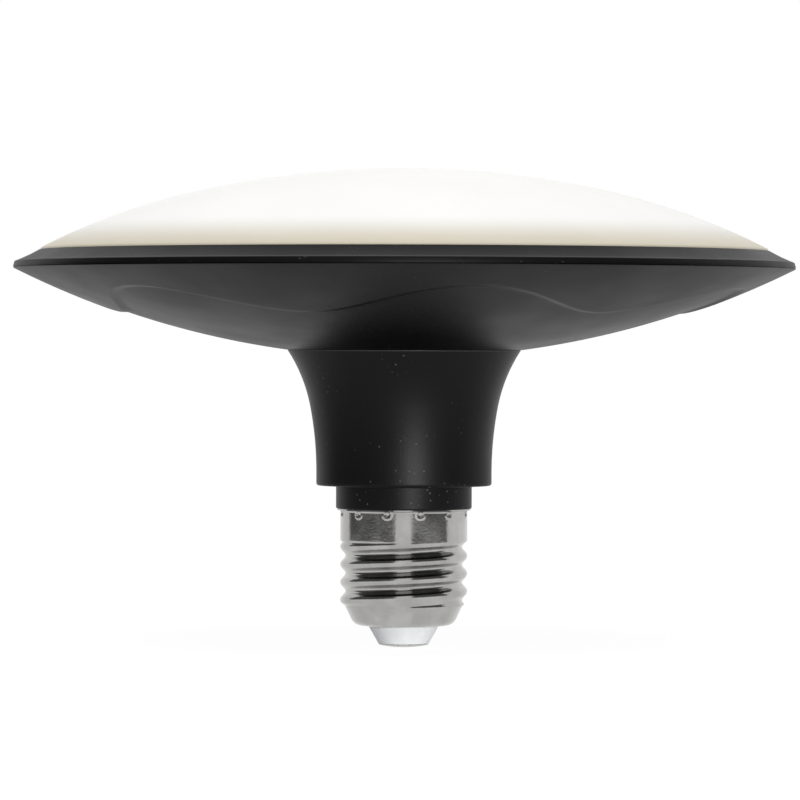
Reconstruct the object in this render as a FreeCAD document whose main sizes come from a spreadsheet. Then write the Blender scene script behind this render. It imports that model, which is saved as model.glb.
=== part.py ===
import FreeCAD, Part
import math
import os
import Sketcher

# Flat disc lamp with an E27 screw cap, 160 mm across.
# The axis of the lamp is Z, the opal dome is up and the cap is down.
# The origin is on the axis, where the plain skirt of the cap ends and its thread starts.
# All sizes are in millimetres.

DRIVING_SIZES = [
    # dish and rim
    ("rim_radius", 80.0),
    ("rim_draft", 0.35),
    ("rim_wall", 0.645),
    ("dish_radius", 178.3),
    ("dish_wall", 1.9),
    ("dish_floor", 2.0),
    ("dish_hole_margin", 4.0),
    ("seat_rise", 1.63),
    ("ledge_drop", 2.8),
    ("ledge_width", 3.4),
    ("rib_count", 8),
    ("rib_thickness", 1.4),
    ("rib_inset", 3.0),
    ("rib_drop", 4.1),
    ("rib_root", 0.5),
    # raised land with the wavy inner edge
    ("land_height", 0.63),
    ("land_root", 0.3),
    ("wave_inset", 17.2),
    ("wave_amplitude", 6.5),
    ("wave_count", 6),
    ("wave_turn", 11.3),
    ("ramp_width", 1.9),
    # bezel ring and diffuser
    ("bezel_width", 5.4),
    ("bezel_height", 2.7),
    ("bezel_sag", 0.12),
    ("tongue_inset", 2.2),
    ("tongue_width", 1.0),
    ("tongue_depth", 1.1),
    ("dome_lip", 0.18),
    ("dome_crown_radius", 192.0),
    ("dome_crown_reach", 44.0),
    ("dome_side_radius", 135.7),
    ("diffuser_wall", 1.5),
    ("diffuser_flange", 1.4),
    ("flange_thickness", 1.3),
    # neck
    ("neck_shoulder", 4.05),
    ("neck_straight", 2.85),
    ("neck_slow_rise", 13.4),
    ("neck_slow_radius", 70.7),
    ("neck_flare_rise", 11.53),
    ("neck_flare_radius", 32.0),
    ("neck_wall", 1.9),
    ("neck_edge", 0.35),
    ("neck_floor", 1.9),
    ("collar_overhang", 0.89),
    ("collar_height", 4.65),
    ("collar_edge", 0.25),
    ("spigot_low", 0.9),
    ("spigot_wall", 1.7),
    ("neck_boss_radius", 2.5),
    ("neck_boss_inset", 6.94),
    ("neck_boss_length", 8.0),
    ("neck_boss_count", 3),
    # screw cap
    ("skirt_radius", 13.03),
    ("skirt_top", 5.35),
    ("mouth_rise", 0.65),
    ("mouth_flare", 0.7),
    ("mouth_round", 0.91),
    ("shell_wall", 0.4),
    ("thread_pitch", 3.629),
    ("thread_depth", 1.05),
    ("thread_length", 13.7),
    ("thread_fade", 2.7),
    ("thread_phase", 7.0),
    ("nose_height", 4.3),
    ("nose_inset", 3.63),
    ("nose_round", 1.6),
    ("crimp_count", 12),
    ("crimp_drop", 0.85),
    ("crimp_radius", 0.75),
    ("crimp_depth", 0.3),
    # insulator and contact
    ("nose_flat_width", 1.08),
    ("insulator_height", 3.7),
    ("insulator_taper", 2.12),
    ("insulator_foot_inset", 0.3),
    ("insulator_foot_rise", 0.6),
    ("insulator_rim", 0.15),
    ("insulator_flange", 1.8),
    ("contact_margin", 0.03),
    ("contact_edge", 0.22),
    ("contact_sag", 0.55),
    ("contact_stem_radius", 0.8),
    ("contact_rivet", 1.2),
    # light engine
    ("spreader_thickness", 1.0),
    ("spreader_hole_radius", 8.0),
    ("board_thickness", 1.0),
    ("board_inset", 1.0),
    ("board_hole_radius", 5.0),
    ("chip_length", 3.5),
    ("chip_width", 2.8),
    ("chip_height", 0.8),
    ("chip_first_ring", 17.0),
    ("chip_margin", 6.71),
    ("chip_ring_count", 5),
    ("chip_spacing", 11.0),
    ("screw_ring", 1.5),
    ("screw_count", 4),
    ("screw_radius", 1.25),
    ("screw_reach", 7.0),
    ("screw_head_radius", 2.7),
    ("screw_head_height", 1.9),
    ("screw_head_side", 0.95),
    ("screw_recess_radius", 1.2),
    ("screw_recess_depth", 0.85),
    ("screw_recess_tip", 0.4),
    ("boss_radius", 3.1),
    ("pilot_extra", 0.5),
    # driver
    ("driver_thickness", 1.6),
    ("driver_side_gap", 0.87),
    ("driver_head_gap", 1.83),
    ("driver_tail_gap", 1.63),
    ("driver_tail_rise", 0.9),
    ("slot_rib", 1.3),
    ("slot_depth", 1.6),
    ("slot_length", 16.2),
    ("slot_root", 0.4),
    ("lead_radius", 0.6),
    ("lead_spread", 1.3),
    ("output_lead_bend", 2.2),
    ("cap_lead_bend", 1.2),
    ("shell_lead_across", 6.0),
    ("contact_lead_across", 3.0),
    ("contact_lead_drop", 6.6),
    ("contact_lead_slant", 4.1),
    ("core_width", 16.0),
    ("core_height", 14.0),
    ("core_depth", 10.6),
    ("core_limb", 2.6),
    ("core_rise", 10.8),
    ("core_back", 2.65),
    ("core_stack", 5.3),
    ("winding_inset", 1.56),
    ("can_edge", 0.3),
    ("bulk_radius", 5.0),
    ("bulk_length", 19.0),
    ("bulk_groove", 2.3),
    ("bulk_across", 4.9),
    ("film_width", 7.0),
    ("film_height", 10.5),
    ("film_depth", 5.0),
    ("film_across", 2.6),
    ("film_rise", 10.2),
    ("driver_chip_width", 5.0),
    ("driver_chip_height", 4.0),
    ("driver_chip_depth", 1.6),
    ("driver_chip_rise", 2.7),
    ("bridge_width", 5.0),
    ("bridge_depth", 2.6),
    ("choke_radius", 2.8),
    ("choke_length", 7.0),
    ("choke_groove", 2.8),
    ("fuse_radius", 1.5),
    ("fuse_length", 7.0),
    ("fuse_groove", 0.7),
    ("varistor_radius", 3.0),
    ("varistor_thickness", 2.6),
    ("connector_width", 6.4),
    ("connector_length", 7.0),
    ("connector_height", 3.4),
    # fits
    ("slide_gap", 0.15),
    ("seat_gap", 0.1),
    ("pilot_gap", 0.05),
    ("screw_hole_gap", 0.35),
    ("part_gap", 0.25),
]

doc = FreeCAD.newDocument("led_bulb")
sheet = doc.addObject("Spreadsheet::Sheet", "Sizes")
for row, (alias, number) in enumerate(DRIVING_SIZES, start=1):
    sheet.set(f"A{row}", alias.replace("_", " "))
    sheet.set(f"B{row}", str(number))
    sheet.setAlias(f"B{row}", alias)
doc.recompute()

UP = FreeCAD.Vector(0, 0, 1)
LEFT = 1
RIGHT = -1


class Size:
    """A length that is both a number and the sheet's expression for that number."""

    def __init__(self, value, text):
        self.value = float(value)
        self.text = text

    def __add__(self, other):
        other = as_size(other)
        return Size(self.value + other.value, f"({self.text} + {other.text})")

    def __sub__(self, other):
        other = as_size(other)
        return Size(self.value - other.value, f"({self.text} - {other.text})")

    def __mul__(self, other):
        other = as_size(other)
        return Size(self.value * other.value, f"({self.text} * {other.text})")

    def __truediv__(self, other):
        other = as_size(other)
        return Size(self.value / other.value, f"({self.text} / {other.text})")

    def __neg__(self):
        return Size(-self.value, f"(0 - {self.text})")

    def __radd__(self, other):
        return as_size(other) + self

    def __rsub__(self, other):
        return as_size(other) - self

    __rmul__ = __mul__


def as_size(number):
    """A plain number as a Size, and a Size as it is."""
    if isinstance(number, Size):
        return number
    return Size(number, repr(float(number)))


def root(number):
    """Square root of a Size."""
    return Size(math.sqrt(number.value), f"sqrt({number.text})")


class Sheet:
    """The driving sizes by name, each as a Size."""

    def __getattr__(self, alias):
        return Size(sheet.get(alias), f"Sizes.{alias}")


D = Sheet()


def side_of(radius, distance):
    """The other short side of a right triangle, from its long side and one short side."""
    return root(radius * radius - distance * distance)


def new_body(label):
    body = doc.addObject("PartDesign::Body", label)
    body.Label = label
    return body


def origin_plane(body, role):
    for feature in body.Origin.OriginFeatures:
        if feature.Role == role:
            return feature
    raise ValueError(role)


def new_sketch(body, role, level=None):
    """A sketch on one of the body's own planes, raised along Z to a level if one is given."""
    sketch = body.newObject("Sketcher::SketchObject", body.Name + "_sketch")
    sketch.AttachmentSupport = [(origin_plane(body, role), "")]
    sketch.MapMode = "FlatFace"
    if level is not None:
        sketch.AttachmentOffset = FreeCAD.Placement(UP * as_size(level).value, FreeCAD.Rotation())
        sketch.setExpression("AttachmentOffset.Base.z", as_size(level).text)
    return sketch


def place_point(sketch, edge, end, across, up):
    """Hold one end of an edge at its distances from the sketch's origin."""
    for kind, distance in (("DistanceX", across), ("DistanceY", up)):
        distance = as_size(distance)
        index = sketch.addConstraint(Sketcher.Constraint(kind, -1, 1, edge, end, distance.value))
        sketch.setExpression(f"Constraints[{index}]", distance.text)


def draw_outline(sketch, corners):
    """Draw a closed outline through corners (across, up), fully held by the sheet.

    A corner may add a side and a radius, and the run from it to the next corner is then
    an arc whose centre lies on that side of the way along.
    """
    ends = []
    first = sketch.GeometryCount
    for here, ahead in zip(corners, corners[1:] + corners[:1]):
        start = FreeCAD.Vector(as_size(here[0]).value, as_size(here[1]).value, 0)
        stop = FreeCAD.Vector(as_size(ahead[0]).value, as_size(ahead[1]).value, 0)
        if len(here) == 2:
            sketch.addGeometry(Part.LineSegment(start, stop))
            ends.append((1, 2, None))
            continue
        side, radius = here[2], here[3]
        chord = stop - start
        rise = math.sqrt(max(radius.value ** 2 - chord.Length ** 2 / 4, 0))
        across = FreeCAD.Vector(-chord.y, chord.x, 0).normalize()
        centre = (start + stop) / 2 + across * (side * rise)
        angles = [math.atan2(point.y - centre.y, point.x - centre.x) for point in (start, stop)]
        if side == RIGHT:
            angles.reverse()
        circle = Part.Circle(centre, UP, radius.value)
        sketch.addGeometry(Part.ArcOfCircle(circle, angles[0], angles[1]))
        ends.append((1, 2, radius) if side == LEFT else (2, 1, radius))
    for step, (corner, (head, tail, radius)) in enumerate(zip(corners, ends)):
        ahead = (step + 1) % len(corners)
        next_head = ends[ahead][0]
        sketch.addConstraint(Sketcher.Constraint("Coincident", first + step, tail, first + ahead, next_head))
        place_point(sketch, first + step, head, corner[0], corner[1])
        if radius is not None:
            index = sketch.addConstraint(Sketcher.Constraint("Radius", first + step, radius.value))
            sketch.setExpression(f"Constraints[{index}]", radius.text)


def draw_box(sketch, low_across, low_up, high_across, high_up):
    draw_outline(sketch, [
        (low_across, low_up),
        (high_across, low_up),
        (high_across, high_up),
        (low_across, high_up),
    ])


def draw_circle(sketch, radius, across=0, up=0):
    radius = as_size(radius)
    centre = FreeCAD.Vector(as_size(across).value, as_size(up).value, 0)
    edge = sketch.addGeometry(Part.Circle(centre, UP, radius.value))
    index = sketch.addConstraint(Sketcher.Constraint("Radius", edge, radius.value))
    sketch.setExpression(f"Constraints[{index}]", radius.text)
    place_point(sketch, edge, 3, across, up)


def revolve(body, corners, kind="Revolution"):
    """Turn an outline of (radius, height) corners round the lamp's axis."""
    sketch = new_sketch(body, "XZ_Plane")
    draw_outline(sketch, corners)
    feature = body.newObject("PartDesign::" + kind, body.Name + "_turned")
    feature.Profile = sketch
    feature.ReferenceAxis = (sketch, ["V_Axis"])
    feature.Angle = 360
    return feature


def pad(body, sketch, length, middle=False):
    feature = body.newObject("PartDesign::Pad", body.Name + "_pad")
    feature.Profile = sketch
    feature.Length = as_size(length).value
    feature.setExpression("Length", as_size(length).text)
    if middle:
        feature.SideType = "Symmetric"
    return feature


def pocket(body, sketch, length, upward=False, middle=False):
    feature = body.newObject("PartDesign::Pocket", body.Name + "_pocket")
    feature.Profile = sketch
    feature.Length = as_size(length).value
    feature.setExpression("Length", as_size(length).text)
    feature.Reversed = upward
    if middle:
        feature.SideType = "Symmetric"
    return feature


def around(body, feature, count):
    """Repeat a feature evenly round the lamp's axis."""
    pattern = body.newObject("PartDesign::PolarPattern", body.Name + "_round")
    pattern.Originals = [feature]
    pattern.Axis = (origin_plane(body, "Z_Axis"), [""])
    pattern.Angle = 360
    pattern.Occurrences = int(round(count.value))
    pattern.setExpression("Occurrences", count.text)
    body.Tip = pattern
    return pattern


def coded(label, shape):
    """A piece whose shape comes from the sizes through code."""
    feature = doc.addObject("Part::Feature", label)
    feature.Label = label
    feature.Shape = shape
    feature.Placement = FreeCAD.Placement()
    return feature


def joined(label, kind, *parts):
    feature = doc.addObject("Part::" + kind, label)
    feature.Label = label
    if kind == "Cut":
        feature.Base, feature.Tool = parts
    else:
        feature.Shapes = list(parts)
    return feature


def check(feature):
    doc.recompute()
    if any(word in feature.State for word in ("Invalid", "Error")) or not feature.Shape.isValid():
        raise RuntimeError(feature.Label + " did not build")
    return feature


# Levels from the cap's mouth up to the dish, each counted from the one below it.
COLLAR_LOW = D.skirt_top + D.mouth_rise
NECK_LOW = COLLAR_LOW + D.collar_height
NECK_FLOOR_TOP = NECK_LOW + D.neck_floor
NECK_STRAIGHT_TOP = NECK_LOW + D.neck_straight
NECK_TURN = NECK_STRAIGHT_TOP + D.neck_slow_rise
SEAT_LEVEL = NECK_TURN + D.neck_flare_rise
FLOOR_TOP = SEAT_LEVEL + D.dish_floor
DISH_CENTRE = SEAT_LEVEL - D.seat_rise + D.dish_radius

# Radii from the cap out to the neck.
SPIGOT_RADIUS = D.skirt_radius - D.shell_wall - D.seat_gap
SPIGOT_BORE = SPIGOT_RADIUS - D.spigot_wall
COLLAR_RADIUS = D.skirt_radius + D.collar_overhang
NECK_RADIUS = COLLAR_RADIUS + D.neck_shoulder
NECK_BORE = NECK_RADIUS - D.neck_wall

# Levels and radii at the tip of the cap.
NOSE_TOP = -D.thread_length
NOSE_TOP_RADIUS = D.skirt_radius - D.thread_depth
NOSE_LOW = NOSE_TOP - D.nose_height
NOSE_FLAT_RADIUS = NOSE_TOP_RADIUS - D.nose_inset
INSULATOR_SEAT = NOSE_LOW + D.shell_wall
INSULATOR_TOP_RADIUS = NOSE_FLAT_RADIUS - D.nose_flat_width
INSULATOR_LOW_RADIUS = INSULATOR_TOP_RADIUS - D.insulator_taper
INSULATOR_LOW = NOSE_LOW - D.insulator_height
STEM_TOP = INSULATOR_SEAT + D.insulator_flange + D.contact_rivet

# The neck's flare is two arcs that run on smoothly from its straight foot.
SLOW_CENTRE = NECK_RADIUS + D.neck_slow_radius
SLOW_SINE = D.neck_slow_rise / D.neck_slow_radius
SLOW_COSINE = side_of(D.neck_slow_radius, D.neck_slow_rise) / D.neck_slow_radius
TURN_RADIUS = SLOW_CENTRE - D.neck_slow_radius * SLOW_COSINE
FLARE_CENTRE = TURN_RADIUS + D.neck_flare_radius * SLOW_COSINE
FLARE_LEVEL = NECK_TURN - D.neck_flare_radius * SLOW_SINE


def flare_radius(level, wall=0):
    """Radius of the neck's flare at a level, or of its inner face a wall further in."""
    return FLARE_CENTRE - side_of(D.neck_flare_radius + wall, level - FLARE_LEVEL)


def dish_level(radius, offset=0):
    """Height of the dish's underside at a radius, or of the same sphere moved in by an offset."""
    return DISH_CENTRE - side_of(D.dish_radius - offset, as_size(radius))


def inner_dish_reach(level):
    """Radius at which the dish's inner face passes a level."""
    return side_of(D.dish_radius - D.dish_wall, DISH_CENTRE - level)


# The flat seat for the neck, and the screws that hold the neck under it.
SEAT_RADIUS = side_of(D.dish_radius, D.dish_radius - D.seat_rise)
NECK_BOSS_CIRCLE = flare_radius(SEAT_LEVEL) - D.neck_boss_inset
DISH_HOLE_RADIUS = NECK_BOSS_CIRCLE - D.dish_hole_margin

# The rim, the bezel ring on it and the diffuser's edge inside the ring.
RIM_TOP_RADIUS = D.rim_radius - D.rim_draft
RIM_TOP = dish_level(D.rim_radius) + D.rim_wall
BEZEL_TOP = RIM_TOP + D.bezel_height
BEZEL_INNER = D.rim_radius - D.bezel_width
TONGUE_OUTER = D.rim_radius - D.tongue_inset + D.tongue_width / 2
TONGUE_INNER = TONGUE_OUTER - D.tongue_width
TONGUE_LOW = RIM_TOP - D.tongue_depth
FLANGE_TOP = RIM_TOP + D.flange_thickness
DIFFUSER_EDGE = BEZEL_INNER - D.slide_gap
DIFFUSER_BORE = DIFFUSER_EDGE - D.diffuser_wall
WAVE_RADIUS = D.rim_radius - D.wave_inset

# The light engine, stacked on the dish's ledge.
LEDGE_LEVEL = RIM_TOP - D.ledge_drop
LEDGE_OUTER = inner_dish_reach(LEDGE_LEVEL)
LEDGE_INNER = LEDGE_OUTER - D.ledge_width
SPREADER_RADIUS = LEDGE_OUTER - D.part_gap
BOARD_RADIUS = SPREADER_RADIUS - D.board_inset
BOARD_LOW = LEDGE_LEVEL + D.spreader_thickness
BOARD_TOP = BOARD_LOW + D.board_thickness
CHIP_RING_STEP = (BOARD_RADIUS - D.chip_margin - D.chip_first_ring) / (D.chip_ring_count - 1)
SCREW_CIRCLE = D.chip_first_ring + CHIP_RING_STEP * D.screw_ring

# The driver board, upright in the neck with its tail down the spigot.
DRIVER_FACE = D.driver_thickness / 2
DRIVER_HALF_WIDTH = NECK_BORE - D.driver_side_gap
DRIVER_LOW = NECK_FLOOR_TOP + D.part_gap
DRIVER_TOP = SEAT_LEVEL - D.driver_head_gap
TAIL_HALF_WIDTH = SPIGOT_BORE - D.driver_tail_gap
TAIL_LOW = D.spigot_low + D.driver_tail_rise
TAIL_MIDDLE = (TAIL_LOW + DRIVER_LOW) / 2


def touching_point(across, up, middle_across, middle_up, radius):
    """Where a line from a point touches the outer, lower side of a circle."""
    step_across, step_up = across - middle_across, up - middle_up
    far = step_across * step_across + step_up * step_up
    along = radius * radius / far
    aside = radius * root(far - radius * radius) / far
    touch_across = middle_across + step_across * along + step_up * aside
    touch_up = middle_up + step_up * along - step_across * aside
    return touch_across, touch_up


def make_diffuser():
    """Opal dome: a flat crown arc running into a tighter side arc, with a flange under its edge."""
    body = new_body("diffuser")
    crown_rise = side_of(D.dome_crown_radius, D.dome_crown_reach)
    lean = D.dome_crown_reach / D.dome_crown_radius
    drop = crown_rise / D.dome_crown_radius
    side_across = D.dome_crown_reach - D.dome_side_radius * lean
    side_centre = BEZEL_TOP + D.dome_lip - side_of(D.dome_side_radius, DIFFUSER_EDGE - side_across)
    crown_centre = side_centre + D.dome_side_radius * drop - crown_rise
    inner_side = D.dome_side_radius - D.diffuser_wall
    inner_crown = D.dome_crown_radius - D.diffuser_wall
    flange_edge = DIFFUSER_EDGE + D.diffuser_flange
    revolve(body, [
        (0, crown_centre + D.dome_crown_radius, RIGHT, D.dome_crown_radius),
        (D.dome_crown_reach, crown_centre + crown_rise, RIGHT, D.dome_side_radius),
        (DIFFUSER_EDGE, BEZEL_TOP + D.dome_lip),
        (DIFFUSER_EDGE, FLANGE_TOP),
        (flange_edge, FLANGE_TOP),
        (flange_edge, RIM_TOP),
        (DIFFUSER_BORE, RIM_TOP),
        (DIFFUSER_BORE, side_centre + side_of(inner_side, DIFFUSER_BORE - side_across), LEFT, inner_side),
        (inner_crown * lean, crown_centre + inner_crown * drop, LEFT, inner_crown),
        (0, crown_centre + inner_crown),
    ])
    return body


def make_bezel_ring():
    """Black ring with a hollow bevel, a step over the diffuser's flange and a tongue below."""
    body = new_body("bezel_ring")
    step_radius = BEZEL_INNER + D.diffuser_flange + D.seat_gap
    step_top = FLANGE_TOP + D.seat_gap
    across = RIM_TOP_RADIUS - BEZEL_INNER
    bevel_radius = (across * across + D.bezel_height * D.bezel_height) / (8 * D.bezel_sag)
    revolve(body, [
        (BEZEL_INNER, BEZEL_TOP, LEFT, bevel_radius),
        (RIM_TOP_RADIUS, RIM_TOP),
        (TONGUE_OUTER, RIM_TOP),
        (TONGUE_OUTER, TONGUE_LOW),
        (TONGUE_INNER, TONGUE_LOW),
        (TONGUE_INNER, RIM_TOP),
        (step_radius, RIM_TOP),
        (step_radius, step_top),
        (BEZEL_INNER, step_top),
    ])
    return body


def wave_reach(angle):
    """Radius of the land's inner edge in one direction, which swings in even lobes."""
    swing = math.cos(D.wave_count.value * (angle - math.radians(D.wave_turn.value)))
    return WAVE_RADIUS.value + D.wave_amplitude.value * swing


def wave_ring(reach, apex):
    """Closed curve at one radius, on the straight lines from the apex through the wavy edge."""
    steps = 8 * int(round(D.wave_count.value))
    points = []
    for step in range(steps):
        angle = 2 * math.pi * step / steps
        edge = wave_reach(angle)
        rise = (dish_level(edge).value - apex) / edge
        # The direction is counted from the front, which faces -Y, and grows towards +X.
        points.append(FreeCAD.Vector(reach * math.sin(angle), -reach * math.cos(angle), apex + reach * rise))
    curve = Part.BSplineCurve()
    shares = [step / steps for step in range(steps + 1)]
    curve.interpolate(Points=points, PeriodicFlag=True, Parameters=shares)
    return curve.toShape()


def wave_block():
    """Solid above the ramp that carries the wavy edge down from the dish to the land."""
    middle = WAVE_RADIUS.value
    slope = math.asin(middle / D.dish_radius.value) - math.atan2(D.land_height.value, D.ramp_width.value)
    apex = dish_level(middle).value - middle * math.tan(slope)
    inner_reach = middle - D.wave_amplitude.value - 4 * D.ramp_width.value
    outer_reach = D.rim_radius.value + 2 * D.ramp_width.value
    top_rings = []
    for reach in (inner_reach, outer_reach):
        circle = Part.Circle(UP * RIM_TOP.value, UP, reach).toShape()
        # Both rings of a side start at the front.
        circle.rotate(FreeCAD.Vector(), UP, -90)
        top_rings.append(circle)
    low_rings = [wave_ring(inner_reach, apex), wave_ring(outer_reach, apex)]
    faces = [Part.makeRuledSurface(low_rings[0], low_rings[1])]
    faces += [Part.makeRuledSurface(low, top) for low, top in zip(low_rings, top_rings)]
    top = Part.makeFace([Part.Wire(top_rings[1]), Part.Wire(top_rings[0])], "Part::FaceMakerBullseye")
    faces.append(top)
    shell = Part.makeShell(faces)
    shell.sewShape()
    return Part.makeSolid(shell)


def make_dish():
    """Moulded dish with its rim groove, ledge, bosses and ribs, and the raised wavy land below."""
    shell = new_body("dish_shell")
    inner_radius = D.dish_radius - D.dish_wall
    groove_outer = TONGUE_OUTER + D.seat_gap
    groove_inner = TONGUE_INNER - D.seat_gap
    groove_low = TONGUE_LOW - D.seat_gap
    revolve(shell, [
        (DISH_HOLE_RADIUS, SEAT_LEVEL),
        (SEAT_RADIUS, SEAT_LEVEL, LEFT, D.dish_radius),
        (D.rim_radius, dish_level(D.rim_radius)),
        (RIM_TOP_RADIUS, RIM_TOP),
        (groove_outer, RIM_TOP),
        (groove_outer, groove_low),
        (groove_inner, groove_low),
        (groove_inner, RIM_TOP),
        (DIFFUSER_BORE, RIM_TOP),
        (DIFFUSER_BORE, dish_level(DIFFUSER_BORE, D.dish_wall), RIGHT, inner_radius),
        (LEDGE_OUTER, LEDGE_LEVEL),
        (LEDGE_INNER, LEDGE_LEVEL),
        (LEDGE_INNER, dish_level(LEDGE_INNER, D.dish_wall), RIGHT, inner_radius),
        (inner_dish_reach(FLOOR_TOP), FLOOR_TOP),
        (DISH_HOLE_RADIUS, FLOOR_TOP),
    ])

    # Thin upright ribs run from the floor out to the ledge.
    sketch = new_sketch(shell, "XZ_Plane")
    half_wall = D.dish_wall / 2
    start, stop = SEAT_RADIUS + D.rib_inset, LEDGE_INNER + D.rib_root
    rib_top = LEDGE_LEVEL - D.rib_root
    draw_outline(sketch, [
        (start, dish_level(start, half_wall), LEFT, D.dish_radius - half_wall),
        (stop, dish_level(stop, half_wall)),
        (stop, rib_top),
        (LEDGE_INNER - D.ledge_width, rib_top),
        (SCREW_CIRCLE - D.boss_radius, LEDGE_LEVEL - D.rib_drop),
        (start, FLOOR_TOP + D.rib_root),
    ])
    around(shell, pad(shell, sketch, D.rib_thickness, middle=True), D.rib_count)

    # Screw bosses stand under the light engine, each with a pilot hole.
    boss_low = dish_level(SCREW_CIRCLE, half_wall)
    sketch = new_sketch(shell, "XY_Plane", boss_low)
    draw_circle(sketch, D.boss_radius, SCREW_CIRCLE, 0)
    around(shell, pad(shell, sketch, LEDGE_LEVEL - boss_low), D.screw_count)
    sketch = new_sketch(shell, "XY_Plane", LEDGE_LEVEL)
    draw_circle(sketch, D.screw_radius + D.pilot_gap, SCREW_CIRCLE, 0)
    around(shell, pocket(shell, sketch, D.screw_reach + D.pilot_extra), D.screw_count)

    # The neck's screws pass through the floor.
    sketch = new_sketch(shell, "XY_Plane", FLOOR_TOP)
    draw_circle(sketch, D.screw_radius + D.screw_hole_gap, 0, NECK_BOSS_CIRCLE)
    around(shell, pocket(shell, sketch, D.dish_floor), D.neck_boss_count)

    land = new_body("dish_land")
    land_start = WAVE_RADIUS - D.wave_amplitude - 3 * D.ramp_width
    revolve(land, [
        (land_start, dish_level(land_start, -D.land_height), LEFT, D.dish_radius + D.land_height),
        (D.rim_radius, dish_level(D.rim_radius, -D.land_height)),
        (D.rim_radius, dish_level(D.rim_radius)),
        (RIM_TOP_RADIUS, dish_level(RIM_TOP_RADIUS, D.land_root), RIGHT, D.dish_radius - D.land_root),
        (land_start, dish_level(land_start, D.land_root)),
    ])
    block = coded("dish_wave", wave_block())
    return joined("dish_housing", "MultiFuse", shell, joined("dish_land_cut", "MultiCommon", land, block))


def make_neck():
    """Neck flaring up to the dish, its collar, and the spigot that the cap is crimped on."""
    shell = new_body("neck_shell")
    inner_slow = D.neck_slow_radius + D.neck_wall
    inner_turn = NECK_STRAIGHT_TOP + inner_slow * SLOW_SINE
    revolve(shell, [
        (SPIGOT_BORE, D.spigot_low),
        (SPIGOT_RADIUS, D.spigot_low),
        (SPIGOT_RADIUS, COLLAR_LOW),
        (COLLAR_RADIUS - D.collar_edge, COLLAR_LOW),
        (COLLAR_RADIUS, COLLAR_LOW + D.collar_edge),
        (COLLAR_RADIUS, NECK_LOW),
        (NECK_RADIUS - D.neck_edge, NECK_LOW, LEFT, D.neck_edge),
        (NECK_RADIUS, NECK_LOW + D.neck_edge),
        (NECK_RADIUS, NECK_STRAIGHT_TOP, RIGHT, D.neck_slow_radius),
        (TURN_RADIUS, NECK_TURN, RIGHT, D.neck_flare_radius),
        (flare_radius(SEAT_LEVEL), SEAT_LEVEL),
        (flare_radius(SEAT_LEVEL, D.neck_wall), SEAT_LEVEL, LEFT, D.neck_flare_radius + D.neck_wall),
        (SLOW_CENTRE - inner_slow * SLOW_COSINE, inner_turn, LEFT, inner_slow),
        (NECK_BORE, NECK_STRAIGHT_TOP),
        (NECK_BORE, NECK_FLOOR_TOP),
        (SPIGOT_BORE, NECK_FLOOR_TOP),
    ])

    # Two pairs of ribs make the slots that the driver board slides into.
    rib_inner = DRIVER_HALF_WIDTH - D.slot_depth
    slot_half = DRIVER_FACE + D.slide_gap
    for across in (1, -1):
        for side in (1, -1):
            sketch = new_sketch(shell, "XY_Plane", NECK_FLOOR_TOP - D.slot_root)
            near, far = rib_inner * across, (NECK_BORE + D.slot_root) * across
            low, high = slot_half * side, (slot_half + D.slot_rib) * side
            draw_box(sketch, near, low, far, high)
            pad(shell, sketch, D.slot_length + D.slot_root)

    # Bosses under the dish's floor take the neck's screws.
    sketch = new_sketch(shell, "XY_Plane", SEAT_LEVEL - D.neck_boss_length)
    draw_circle(sketch, D.neck_boss_radius, 0, NECK_BOSS_CIRCLE)
    around(shell, pad(shell, sketch, D.neck_boss_length), D.neck_boss_count)
    sketch = new_sketch(shell, "XY_Plane", SEAT_LEVEL)
    draw_circle(sketch, D.screw_radius + D.pilot_gap, 0, NECK_BOSS_CIRCLE)
    around(shell, pocket(shell, sketch, D.screw_reach), D.neck_boss_count)

    punches = coded("neck_crimp_punches", crimp_spheres(D.crimp_radius.value + D.shell_wall.value))
    return joined("neck_housing", "Cut", shell, punches)


def crimp_spheres(radius):
    """Balls whose inner sides mark the dimples punched round the cap's skirt."""
    reach = D.skirt_radius.value - D.crimp_depth.value + D.crimp_radius.value
    level = D.skirt_top.value - D.crimp_drop.value
    count = int(round(D.crimp_count.value))
    balls = []
    for step in range(count):
        angle = 2 * math.pi * (step + 0.5) / count - math.pi / 2
        centre = FreeCAD.Vector(reach * math.cos(angle), reach * math.sin(angle), level)
        balls.append(Part.makeSphere(radius, centre))
    return Part.makeCompound(balls)


def thread_tube():
    """Rolled thread of the cap, one turn a pitch, with the same sheet thickness all along.

    A level cut through a round thread is very nearly a circle moved off the axis by half the
    thread's depth, and the circle's centre walks round the axis once in each pitch.
    """
    cuts_per_turn = 6
    cuts = int(math.ceil(D.thread_length.value / D.thread_pitch.value * cuts_per_turn))
    outer, inner = [], []
    for cut in range(cuts + 1):
        level = -D.thread_length.value * cut / cuts
        fade_in = min(1.0, -level / D.thread_fade.value)
        fade_out = min(1.0, (D.thread_length.value + level) / D.thread_fade.value)
        offset = D.thread_depth.value / 2 * fade_in * fade_out
        # The lower end closes in to the thread's root, ready for the nose.
        radius = D.skirt_radius.value - offset - D.thread_depth.value * (1 - fade_out)
        angle = math.radians(D.thread_phase.value) + 2 * math.pi * level / D.thread_pitch.value
        centre = FreeCAD.Vector(offset * math.cos(angle), offset * math.sin(angle), level)
        outer.append(Part.Wire(Part.makeCircle(radius, centre)))
        inner.append(Part.Wire(Part.makeCircle(radius - D.shell_wall.value, centre)))
    return Part.makeLoft(outer, True, True).cut(Part.makeLoft(inner, True, True))


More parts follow.
